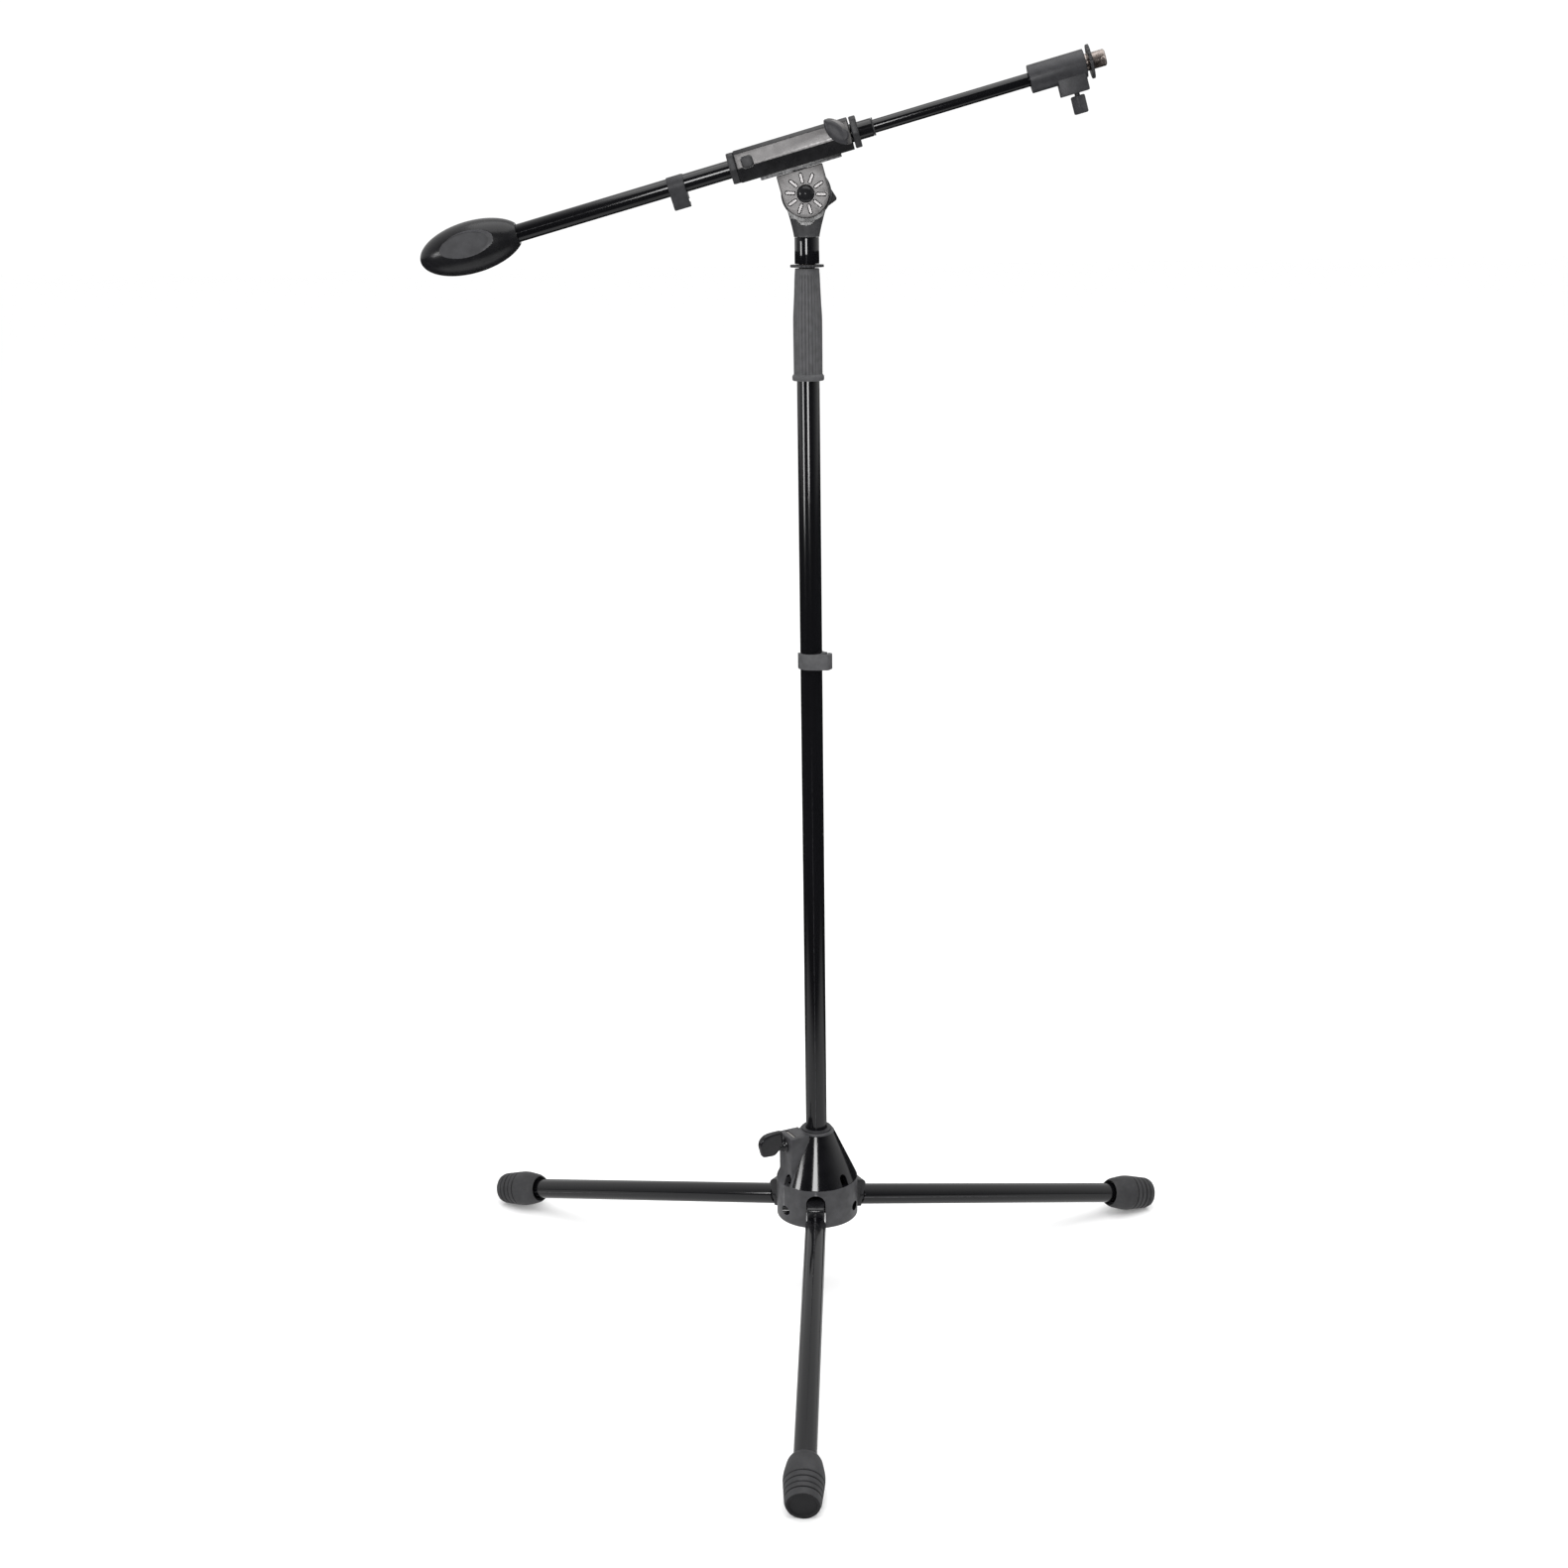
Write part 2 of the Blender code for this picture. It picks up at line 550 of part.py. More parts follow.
def make_tilt_plate(pivot):
    """Local X runs along the boom and local Z to its upper side."""
    top = BOOM_RISE - HOLDER_HALF - PAD_DEPTH - GAP
    outline = arc((0, 0), PLATE_R, 180, 360, 17) + [(PLATE_R, top), (-PLATE_R, top)]
    centre = (PLATE_FRONT + PLATE_BACK) / 2
    plate = slab("swivel_plate", outline, PLATE_BACK - PLATE_FRONT, pivot, "satin_casting",
                 location=(0, centre, 0), turn=ALONG_FRONT)
    for index in range(10):
        ray = frame(f"ray_{index}", pivot, turn=(0, 90 + 36 * index, 0))
        join(plate, block(f"ray_bar_{index}", (0.0098, PLATE_FRONT - 0.0011, -0.0013),
                          (0.0195, PLATE_FRONT + 0.0010, 0.0013), ray))
    cut(plate, rod("plate_sink", 0.0068, 0.0117, 0.0300, pivot, turn=ALONG_FRONT),
        rod("plate_bore", 0.0043, 0.0, 0.0300, pivot, turn=ALONG_FRONT))
    turned("tilt_bolt", [
        (0, 0.0162), (0.0062, 0.0162), (0.0062, 0.0120), (0.0040, 0.0120), (0.0040, -0.0190), (0, -0.0190),
    ], pivot, "plain_steel", FINE, turn=ALONG_FRONT)
    dome = arc((0, 0.0168), 0.0085, 90, 0, 6)
    dome = [(radius, 0.0168 + (height - 0.0168) * 0.62) for radius, height in dome]
    turned("tilt_cap", [(0, dome[0][1])] + dome[1:] + [(0, 0.0168)], pivot, "moulded_black", FINE,
           turn=ALONG_FRONT)


# ---------------------------------------------------------------- boom

def holder_section(half):
    """Cross-section seen along the boom: x towards -Y, y upwards, both from the boom's axis."""
    low = half - 0.0060
    return [(-low, -half), (low, -half), (half, -0.0020), (half, half - 0.0020), (half - 0.0020, half),
            (-half + 0.0020, half), (-half, half - 0.0020), (-half, -0.0020)]


def holder_piece(name, start, end, half, boom, finish):
    """The holder's section between two stations."""
    outline = [(-y, z) for y, z in reversed(holder_section(half))]
    middle = (start + end) / 2
    return slab(name, outline, end - start, boom, finish, location=(middle, 0, 0), turn=(90, 0, 90))


def make_holder(boom):
    body = holder_piece("boom_holder", HOLDER_START, HOLDER_END, HOLDER_HALF, boom, "satin_casting")
    pad_low = (-0.0370, -0.0080, -HOLDER_HALF - PAD_DEPTH)
    pad = block("holder_pad", pad_low, (0.0420, PAD_BACK, -HOLDER_HALF + 0.0020), boom)
    join(body, pad)
    wall_bore = BOOM_TUBE_R + 0.0020
    cut(body, rod("holder_bore", wall_bore, -0.1000, 0.1000, boom, sides=24, turn=ALONG_X),
        rod("wing_hole", 0.0034, 0.0, 0.0300, boom, location=(WING_STATION, 0, 0), turn=ALONG_FRONT),
        block("button_pocket", (-0.0502, -0.0200, -0.0037), (-0.0388, -0.0117, 0.0077), boom))
    sleeve = (wall_bore - GAP, BOOM_TUBE_R + GAP)
    left = holder_piece("holder_end_cap", -0.0626, HOLDER_START - GAP, HOLDER_HALF - 0.0006, boom,
                        "moulded_black")
    join(left, tube("left_sleeve", *sleeve, -0.0600, -0.0350, boom, sides=24, turn=ALONG_X))
    cut(left, rod("left_bore", sleeve[1], -0.1000, 0.0, boom, sides=24, turn=ALONG_X))
    right = holder_piece("holder_collar", 0.0570, 0.0633, HOLDER_HALF - 0.0004, boom, "moulded_black")
    cut(right, rod("right_bore", sleeve[1], 0.0, 0.1000, boom, sides=24, turn=ALONG_X))
    block("holder_button", (-0.0499, -0.0168, -0.0034), (-0.0391, -0.0120, 0.0074), boom, "moulded_black",
          bevel=0.0018)
    make_wing_lever(boom)


def make_wing_lever(boom):
    """Clamp screw through the holder's front wall, with a leaf-shaped lever."""
    axis = frame("wing_axis", boom, (WING_STATION, 0, 0))
    tip = BOOM_TUBE_R + GAP + 0.0015
    lever = turned("boom_wing_lever", [
        (0, 0.0240), (0.0050, 0.0240), (0.0060, 0.0230), (0.0060, HOLDER_HALF + GAP),
        (0.0030, HOLDER_HALF + GAP), (0.0030, tip + GAP), (0, tip + GAP),
    ], axis, "moulded_black", FINE, turn=ALONG_FRONT)
    leaf_frame = frame("leaf_frame", axis, (-0.0035, 0, 0.0012), (0, -29, 0))
    leaf = slab("leaf", leaf_outline(0.0066, 0.0155, 0.0038), 0.0070, leaf_frame,
                location=(0, -0.0205, 0), turn=ALONG_FRONT)
    soften(leaf, 0.0012)
    join(lever, leaf)
    rod("boom_clamp_shoe", 0.0030, BOOM_TUBE_R + GAP, tip, axis, "guide_plastic", 12, turn=ALONG_FRONT)


def leaf_outline(half_width, half_length, offset):
    """A pointed oval made of two arcs, its middle raised by the offset."""
    bulge = (half_length ** 2 - half_width ** 2) / (2 * half_width)
    radius = bulge + half_width
    spread = math.degrees(math.asin(half_length / radius))
    right = arc((-bulge, offset), radius, -spread * 0.93, spread * 0.93, 8)
    left = arc((bulge, offset), radius, 180 - spread * 0.93, 180 + spread * 0.93, 8)
    return right + left


def make_boom_tubes(boom):
    inner = BOOM_TUBE_R - BOOM_TUBE_WALL
    tube("boom_outer_tube", BOOM_TUBE_R, inner, BOOM_TUBE_START, BOOM_TUBE_END, boom, "tube_black", 24,
         turn=ALONG_X)
    bush_end = BOOM_TUBE_END + 0.0018
    bore = BOOM_INNER_R + GAP
    turned("boom_tube_bush", [
        (BOOM_TUBE_R, bush_end), (BOOM_TUBE_R, BOOM_TUBE_END + GAP), (inner - GAP, BOOM_TUBE_END + GAP),
        (inner - GAP, 0.0500), (bore, 0.0500), (bore, bush_end),
    ], boom, "moulded_black", FINE, turn=ALONG_X)
    tube("boom_inner_tube", BOOM_INNER_R, BOOM_INNER_R - BOOM_TUBE_WALL, BOOM_INNER_START, 0.2620, boom,
         "tube_black", FINE, turn=ALONG_X)
    spigot = BOOM_INNER_R - BOOM_TUBE_WALL - GAP
    turned("boom_inner_glide", [
        (0, -0.1000), (spigot, -0.1000), (spigot, BOOM_INNER_START - GAP),
        (inner - GAP, BOOM_INNER_START - GAP), (inner - GAP, BOOM_INNER_START - 0.0060),
        (0, BOOM_INNER_START - 0.0060),
    ], boom, "guide_plastic", FINE, turn=ALONG_X)
    clip = frame("boom_clip_frame", boom, (BOOM_CLIP_START + CLIP_WIDTH / 2, 0, 0), (0, 90, 0))
    make_clip("boom_cable_clip", clip, BOOM_TUBE_R, 0.0066, "moulded_black", FINE)


def make_counterweight(boom):
    """Egg with a flat oval panel on the front and a blind bore for the boom tube."""
    middle = (WEIGHT_START + WEIGHT_END) / 2
    half = (WEIGHT_END - WEIGHT_START) / 2
    reach = 1.06 * half
    centre = WEIGHT_START + reach
    mouth = math.degrees(math.asin(WEIGHT_MOUTH_R / WEIGHT_R))
    angles = [math.radians(mouth + (180 - mouth) * i / 10) for i in range(10)]
    shell = [(WEIGHT_R * math.sin(a), centre + reach * math.cos(a)) for a in angles]
    bore = BOOM_TUBE_R + GAP
    outline = [(0, shell[0][1])] + shell + [(0, WEIGHT_START)]
    weight = turned("counterweight", outline, boom, "weight_black", 24, turn=ALONG_X)
    cut(weight, rod("weight_bore", bore, BOOM_TUBE_START - GAP, 0.0, boom, sides=24, turn=ALONG_X))
    panel = frame("panel_frame", boom, (middle - 0.0015, 0, 0), (-9.5, 0, 0))
    cut(weight, block("panel_cut", (-0.0500, -0.0400, -0.0300), (0.0500, -0.0210, 0.0300), panel))


def make_boom_head(boom):
    head = rod("boom_head", 0.0130, HEAD_START, HEAD_END, boom, "moulded_black", 32, turn=ALONG_X)
    boss = block("head_boss", (0.2525, -0.0095, -0.0240), (0.2795, 0.0095, 0.0), boom)
    join(head, boss)
    bore = BOOM_INNER_R + GAP
    cut(head, rod("head_bore", bore, 0.2000, 0.2640, boom, sides=24, turn=ALONG_X),
        rod("shank_bore", 0.0053, 0.2600, 0.3000, boom, turn=ALONG_X),
        rod("screw_bore", 0.0028, -0.0400, -0.0058, boom, location=(HEAD_SCREW_STATION, 0, 0)))
    make_head_screw(boom)
    turned("boom_tip", [
        (0, TIP_END), (0.0068, TIP_END), (STUD_R, TIP_END - 0.0013), (STUD_R, HEAD_END + GAP),
        (0.0050, HEAD_END + GAP), (0.0050, 0.2750), (0, 0.2750),
    ], boom, "tip_nickel", FINE, turn=ALONG_X)
    tube("boom_lock_ring", 0.01575, STUD_R + GAP, 0.2848, 0.2876, boom, "moulded_black", 32, turn=ALONG_X)


def make_head_screw(boom):
    """Small thumb screw below the head, its knob a block turned by an eighth."""
    axis = frame("head_screw_axis", boom, (HEAD_SCREW_STATION, 0, 0))
    screw = rod("head_screw", 0.0025, -0.0300, -0.0080, axis, "moulded_black", 12)
    knob = block("head_knob", (-0.0052, -0.0052, -0.0428), (0.0052, 0.0052, -0.0262), axis, turn=(0, 0, 38))
    soften(knob, 0.0008)
    join(screw, knob)


# ---------------------------------------------------------------- assembly

def make_stand():
    reach_front = footprint_reach(LEG_AZIMUTHS["front"])
    reach_back = footprint_reach(LEG_AZIMUTHS["right"])
    mast = frame("mast_axis", None, (0, (reach_front - reach_back) / 2, 0))
    legs = leg_frames(mast)
    make_hub(mast, legs)
    for side, (flat, hinge) in legs.items():
        make_leg(side, flat, hinge)
    make_mast(mast)
    make_knuckle(mast)
    tilt = frame("tilt_axis", mast, (0, 0, PIVOT_HEIGHT), (0, -BOOM_TILT, 0))
    make_tilt_plate(tilt)
    boom = frame("boom_axis", tilt, (0, BOOM_Y, BOOM_RISE))
    make_holder(boom)
    make_boom_tubes(boom)
    make_counterweight(boom)
    make_boom_head(boom)


reset_scene()
STAND = new_collection("boom_microphone_stand")
CUTTERS = new_collection("cutters")
make_stand()
bpy.context.view_layer.update()
for part in STAND.objects:
    if part.type == "MESH":
        smooth(part)
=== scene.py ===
"""Looks of the boom microphone stand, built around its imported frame.

Every piece is modelled in a local place taken from the frame's joints: the mast axis, the boom axis,
each leg's hinge and so on. Lengths are metres.
"""

import json
import math

import bpy
from mathutils import Matrix, Vector


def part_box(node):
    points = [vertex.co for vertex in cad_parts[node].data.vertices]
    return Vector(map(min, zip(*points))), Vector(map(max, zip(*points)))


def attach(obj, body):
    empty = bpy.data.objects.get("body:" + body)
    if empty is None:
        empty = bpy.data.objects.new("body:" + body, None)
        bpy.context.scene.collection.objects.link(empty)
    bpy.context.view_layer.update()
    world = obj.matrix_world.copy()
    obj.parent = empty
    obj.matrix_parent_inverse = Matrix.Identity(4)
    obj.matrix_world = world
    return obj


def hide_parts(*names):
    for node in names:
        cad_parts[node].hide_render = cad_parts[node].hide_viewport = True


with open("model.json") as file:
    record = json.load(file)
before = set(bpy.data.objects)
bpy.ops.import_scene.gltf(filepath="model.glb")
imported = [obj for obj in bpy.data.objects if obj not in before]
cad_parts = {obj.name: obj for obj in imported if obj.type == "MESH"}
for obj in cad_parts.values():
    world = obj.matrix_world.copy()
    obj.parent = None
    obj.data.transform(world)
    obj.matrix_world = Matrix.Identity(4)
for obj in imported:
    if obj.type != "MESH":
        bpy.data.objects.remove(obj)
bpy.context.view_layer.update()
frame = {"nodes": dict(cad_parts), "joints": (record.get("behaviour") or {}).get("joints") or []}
JOINTS = {joint["name"]: joint for joint in frame["joints"]}

# Sizes shared by several pieces
GAP = 0.0003                 # clearance between touching pieces
LEG_SLOPE = 12.75            # degrees below the horizontal
TUBE_R = 0.0110
TUBE_WALL = 0.0012
INNER_R = 0.0080
STUD_R = 0.0079
SHAFT_R = 0.0119
BOOM_TUBE_R = 0.0085
BOOM_INNER_R = 0.0063
BOOM_WALL = 0.0010
HOLDER_HALF = 0.0150
CLIP_WIDTH = 0.0160
THREAD_PITCH = 0.00094
THREAD_DEPTH = 0.00034

# Hub
SKIRT_R = 0.0430
COLLAR_R = 0.0187
SKIRT_BOTTOM = 0.0940
SKIRT_TOP = 0.1360
HUB_TOP = 0.1900
HUB_WALL = 0.0040
LEDGE_Z = 0.1020
SLEEVE_R = 0.0158
SLOT_HALF = 0.01015
BOSS_REACH = 0.0377
BOSS_HALF = 0.01375
SIDES = ("front", "right", "left")

# Foot, as distances along the leg from its hinge
FOOT_MOUTH = 0.3630
FOOT_LENGTH = 0.0548

# Tilt plate: its radius, and its limit of tilt in degrees
PLATE_R = 0.0225
TILT_LIMIT = 75


# ---------------------------------------------------------------- places

def pivot_of(joint):
    return Vector(JOINTS[joint]["pos_m"])


def axis_of(joint):
    return Vector(JOINTS[joint]["axis"]).normalized()


def place_at(origin, x_axis, z_axis):
    """A place with local X and Z along two directions."""
    z = z_axis.normalized()
    x = (x_axis - z * x_axis.dot(z)).normalized()
    place = Matrix((x, z.cross(x), z)).transposed().to_4x4()
    place.translation = origin
    return place


def turned_by(degrees, axis):
    return Matrix.Rotation(math.radians(degrees), 4, axis)


def moved_by(x=0.0, y=0.0, z=0.0):
    return Matrix.Translation((x, y, z))


UP = Vector((0, 0, 1))
SIDEWAYS = Vector((1, 0, 0))
ALONG_X = turned_by(90, "Y")         # local Z becomes the place's X
TO_FRONT = turned_by(90, "X")        # local Z becomes the place's -Y
TILT_PIVOT = pivot_of("boom_tilt")
BOOM_WAY = axis_of("boom_slide")
BOOM_UP = -axis_of("head_screw_turn")
MAST_FOOT = Vector((TILT_PIVOT.x, TILT_PIVOT.y, 0))
MAST = place_at(MAST_FOOT, SIDEWAYS, UP)
KNUCKLE = place_at(TILT_PIVOT, SIDEWAYS, UP)
TILT = place_at(TILT_PIVOT, BOOM_WAY, BOOM_UP)
BOOM_RISE = (pivot_of("head_turn") - TILT_PIVOT).dot(BOOM_UP)
BOOM_SIDE = pivot_of("head_turn").y - TILT_PIVOT.y
BOOM = TILT @ moved_by(0, BOOM_SIDE, BOOM_RISE)
CLAMP = place_at(pivot_of("hub_knob_turn"), axis_of("hub_knob_turn"), UP)
PIVOT_Z = pivot_of("leg_fold_front").z
PIVOT_REACH = (pivot_of("leg_fold_front") - MAST_FOOT).xy.length


def leg_places(side):
    """The place of a leg's bay, level and on the mast axis, and of its hinge, with X along the leg."""
    pivot = pivot_of("leg_fold_" + side)
    outward = (pivot - MAST_FOOT) * Vector((1, 1, 0))
    bay = place_at(MAST_FOOT, outward, UP)
    hinge = bay @ moved_by(PIVOT_REACH, 0, PIVOT_Z) @ turned_by(LEG_SLOPE, "Y")
    return bay, hinge


def boom_ends(node):
    """Stations of a CAD node's two ends along the boom, from the tilt axis."""
    mesh = frame["nodes"][node].data
    stations = [(vertex.co - TILT_PIVOT).dot(BOOM_WAY) for vertex in mesh.vertices]
    return min(stations), max(stations)


def joint_station(joint):
    """Station of a joint along the boom, from the tilt axis."""
    return (pivot_of(joint) - TILT_PIVOT).dot(BOOM_WAY)


def heights(node):
    """Lowest and highest point of a CAD node."""
    low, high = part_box(node)
    return low.z, high.z


# ---------------------------------------------------------------- materials

def add_node(tree, kind, inputs=(), **settings):
    """A node with its settings and the values of its named input sockets."""
    node = tree.nodes.new(kind)
    for key, value in settings.items():
        setattr(node, key, value)
    for socket, value in dict(inputs).items():
        node.inputs[socket].default_value = value
    return node


class Nodes:
    """Short names for building one material's node tree."""

    def __init__(self, name, roughness, metallic, specular):
        self.material = bpy.data.materials.new(name)
        self.material.use_nodes = True
        self.tree = self.material.node_tree
        self.shader = self.tree.nodes["Principled BSDF"]
        finish = {"Roughness": roughness, "Metallic": metallic, "Specular IOR Level": specular}
        for socket, value in finish.items():
            self.shader.inputs[socket].default_value = value
        self.place = self.add("ShaderNodeTexCoord").outputs["Object"]

    def add(self, kind, inputs=(), **settings):
        return add_node(self.tree, kind, inputs, **settings)

    def link(self, source, target):
        self.tree.links.new(source, target)

    def stretched(self, stretch):
        """The local place scaled along its axes, so that grain can run along a tube."""
        mapping = self.add("ShaderNodeMapping", {"Scale": stretch})
        self.link(self.place, mapping.inputs["Vector"])
        return mapping.outputs["Vector"]

    def noise(self, scale, detail=3.0, roughness=0.55, stretch=None):
        node = self.add("ShaderNodeTexNoise", {"Scale": scale, "Detail": detail, "Roughness": roughness})
        self.link(self.stretched(stretch) if stretch else self.place, node.inputs["Vector"])
        return node.outputs["Fac"]

    def spread(self, value, low, high, start=0.3, end=0.7):
        """Maps a noise's middle range to a range of values."""
        limits = {"From Min": start, "From Max": end, "To Min": low, "To Max": high}
        node = self.add("ShaderNodeMapRange", limits)
        self.link(value, node.inputs["Value"])
        return node.outputs["Result"]

    def blend(self, amount, first, second):
        """Mixes two colours; each is a tuple or another node's output."""
        node = self.add("ShaderNodeMix", data_type="RGBA")
        self.link(amount, node.inputs["Factor"])
        for socket, colour in ((node.inputs["A"], first), (node.inputs["B"], second)):
            if isinstance(colour, tuple):
                socket.default_value = (*colour, 1.0)
            else:
                self.link(colour, socket)
        return node.outputs["Result"]

    def mottled(self, noise, colour, dark, light, start=0.3, end=0.7):
        """A colour that wanders between a darker and a lighter shade of itself."""
        share = self.spread(noise, 0.0, 1.0, start, end)
        return self.blend(share, scaled(colour, dark), scaled(colour, light))

    def worn_edges(self, colour, edge_colour, start, end):
        """Lightens the sharpest edges, broken up by noise."""
        geometry = self.add("ShaderNodeNewGeometry")
        edge = self.spread(geometry.outputs["Pointiness"], 0.0, 1.0, start, end)
        broken = self.spread(self.noise(420.0, 4.0), 0.15, 1.0, 0.35, 0.65)
        both = self.add("ShaderNodeMath", operation="MULTIPLY", use_clamp=True)
        self.link(edge, both.inputs[0])
        self.link(broken, both.inputs[1])
        return self.blend(both.outputs["Value"], colour, edge_colour)

    def bump(self, *layers):
        """Each layer is a height output, its strength and its depth in metres."""
        normal = None
        for height, strength, distance in layers:
            node = self.add("ShaderNodeBump", {"Strength": strength, "Distance": distance})
            self.link(height, node.inputs["Height"])
            if normal is not None:
                self.link(normal, node.inputs["Normal"])
            normal = node.outputs["Normal"]
        self.link(normal, self.shader.inputs["Normal"])

    def finish(self, colour, roughness):
        self.link(colour, self.shader.inputs["Base Color"])
        self.link(roughness, self.shader.inputs["Roughness"])
        return self.material


def scaled(colour, factor):
    return tuple(channel * factor for channel in colour)


def gloss_paint(name, colour, roughness, stretch=(1, 1, 1)):
    """Baked gloss enamel: faint orange peel, dust marks in the gloss and small wear at the edges."""
    make = Nodes(name, roughness, 0.0, 0.5)
    shade = make.mottled(make.noise(60.0, 2.0, stretch=stretch), colour, 0.8, 1.35)
    shade = make.worn_edges(shade, (0.10, 0.10, 0.105), 0.56, 0.66)
    smears = make.spread(make.noise(35.0, 4.0, stretch=stretch), roughness * 0.75, roughness * 1.5)
    peel = make.noise(620.0, 2.0)
    make.bump((peel, 0.05, 0.00008))
    return make.finish(shade, smears)


def cast_paint(name, colour, roughness, grain=900.0, depth=0.00012):
    """Paint over a die casting: fine pebble grain, slow waviness, worn edges."""
    make = Nodes(name, roughness, 0.0, 0.5)
    shade = make.mottled(make.noise(90.0, 4.0), colour, 0.75, 1.3)
    shade = make.worn_edges(shade, (0.16, 0.16, 0.165), 0.56, 0.68)
    patches = make.spread(make.noise(140.0, 5.0), roughness * 0.8, roughness * 1.3)
    make.bump((make.noise(grain, 3.0, 0.6), 0.22, depth), (make.noise(110.0, 2.0), 0.10, 0.0004))
    return make.finish(shade, patches)


def moulded_plastic(name, colour, roughness, grain=1100.0, depth=0.00010):
    """Spark-eroded texture of a plastic moulding, a little polished where hands rub it."""
    make = Nodes(name, roughness, 0.0, 0.4)
    shade = make.mottled(make.noise(160.0, 4.0), colour, 0.82, 1.22)
    shade = make.worn_edges(shade, scaled(colour, 2.4), 0.55, 0.66)
    rubbed = make.spread(make.noise(45.0, 3.0), roughness * 0.85, roughness * 1.2)
    cells = make.add("ShaderNodeTexVoronoi", {"Scale": grain})
    make.link(make.place, cells.inputs["Vector"])
    make.bump((cells.outputs["Distance"], 0.25, depth), (make.noise(grain * 0.45, 4.0), 0.18, depth))
    return make.finish(shade, rubbed)


def soft_rubber(name, colour, roughness, dust=0.12):
    """Vulcanised rubber: dull, finely pitted, with pale dust in its lows."""
    make = Nodes(name, roughness, 0.0, 0.35)
    shade = make.mottled(make.noise(75.0, 5.0), colour, 0.8, 1.25)
    pits = make.spread(make.noise(240.0, 6.0, 0.7), 0.0, dust, 0.45, 0.75)
    shade = make.blend(pits, shade, (0.22, 0.21, 0.20))
    dull = make.spread(make.noise(60.0, 3.0), roughness * 0.9, min(1.0, roughness * 1.15))
    make.bump((make.noise(1500.0, 3.0, 0.65), 0.30, 0.00010), (make.noise(260.0, 3.0), 0.12, 0.0002))
    return make.finish(shade, dull)


def bare_metal(name, colour, roughness, stretch=(1, 1, 1), stain=(0.20, 0.17, 0.14)):
    """Plated or turned metal with fine turning lines and stains."""
    make = Nodes(name, roughness, 1.0, 0.5)
    lines = make.noise(900.0, 2.0, stretch=stretch)
    shade = make.mottled(lines, colour, 0.85, 1.1)
    shade = make.blend(make.spread(make.noise(130.0, 5.0), 0.0, 0.35, 0.5, 0.8), shade, stain)
    dull = make.spread(make.noise(220.0, 4.0), roughness * 0.7, roughness * 1.5)
    make.bump((lines, 0.12, 0.00005))
    return make.finish(shade, dull)


def satin_face(name, colour, roughness):
    """Silvery satin painted on the black tilt joint's flat front faces as a painted reflection of the front
    light: dense sparkling grain.
    """
    make = Nodes(name, roughness, 0.75, 0.5)
    sparkle = make.noise(1700.0, 2.0, 0.7)
    shade = make.mottled(sparkle, colour, 0.82, 1.18, 0.35, 0.65)
    shade = make.worn_edges(shade, (0.55, 0.54, 0.54), 0.54, 0.64)
    patches = make.spread(make.noise(120.0, 4.0), roughness * 0.95, roughness * 1.06)
    make.bump((sparkle, 0.16, 0.00006))
    return make.finish(shade, patches)


BLACK = (0.0030, 0.0030, 0.0037)
ALONG = (1, 1, 0.06)
FINISHES = [
    (gloss_paint, "tube_enamel", BLACK, 0.11, {"stretch": ALONG}),
    (gloss_paint, "sleeve_enamel", BLACK, 0.05, {"stretch": ALONG}),
    (gloss_paint, "hub_enamel", BLACK, 0.10, {}),
    (cast_paint, "hub_grain", (0.034, 0.034, 0.037), 0.40, {"grain": 1300.0}),
    (cast_paint, "joint_casting", (0.030, 0.030, 0.032), 0.40, {}),
    # black of the castings; also painted on the knuckle's front face as painted shade of the gap behind the
    # plate's edge
    (cast_paint, "holder_casting", (0.007, 0.007, 0.008), 0.28, {"depth": 0.00004}),
    # grey satin painted on the front faces of black castings: painted reflection of the front light
    (satin_face, "plate_satin", (0.140, 0.136, 0.136), 0.42, {}),
    # lighter satin on the tops of the plate's rays: painted glint
    (satin_face, "ray_satin", (0.30, 0.29, 0.29), 0.40, {}),
    # bright metal painted on the knuckle's chamfer ring: painted highlight
    (bare_metal, "bright_edge", (0.70, 0.70, 0.70), 0.25, {}),
    (moulded_plastic, "black_moulding", (0.020, 0.020, 0.022), 0.46, {}),
    (moulded_plastic, "head_moulding", (0.022, 0.022, 0.025), 0.44, {}),
    (moulded_plastic, "knob_moulding", (0.008, 0.008, 0.009), 0.16, {"depth": 0.00002}),
    (moulded_plastic, "grip_moulding", (0.055, 0.055, 0.058), 0.52, {"depth": 0.00012}),
    (soft_rubber, "foot_rubber", (0.024, 0.024, 0.026), 0.58, {"dust": 0.05}),
    # darker rubber of soles and washers; also in the feet's grooves as dirt and painted shade
    (soft_rubber, "sole_rubber", (0.006, 0.006, 0.007), 0.70, {"dust": 0.02}),
    (soft_rubber, "weight_skin", (0.006, 0.006, 0.007), 0.25, {"dust": 0.012}),
    (cast_paint, "panel_skin", (0.028, 0.028, 0.031), 0.46, {"grain": 700.0, "depth": 0.00022}),
    (bare_metal, "black_steel", (0.045, 0.045, 0.048), 0.35, {}),
    (bare_metal, "plain_steel", (0.44, 0.42, 0.40), 0.30, {}),
    (bare_metal, "tip_nickel", (0.46, 0.40, 0.37), 0.30, {"stretch": (0.1, 0.1, 1)}),
    (moulded_plastic, "guide_plastic", (0.60, 0.60, 0.57), 0.45, {}),
]
LOOKS = {name: maker(name, colour, roughness, **extra) for maker, name, colour, roughness, extra in FINISHES}


# ---------------------------------------------------------------- mesh building

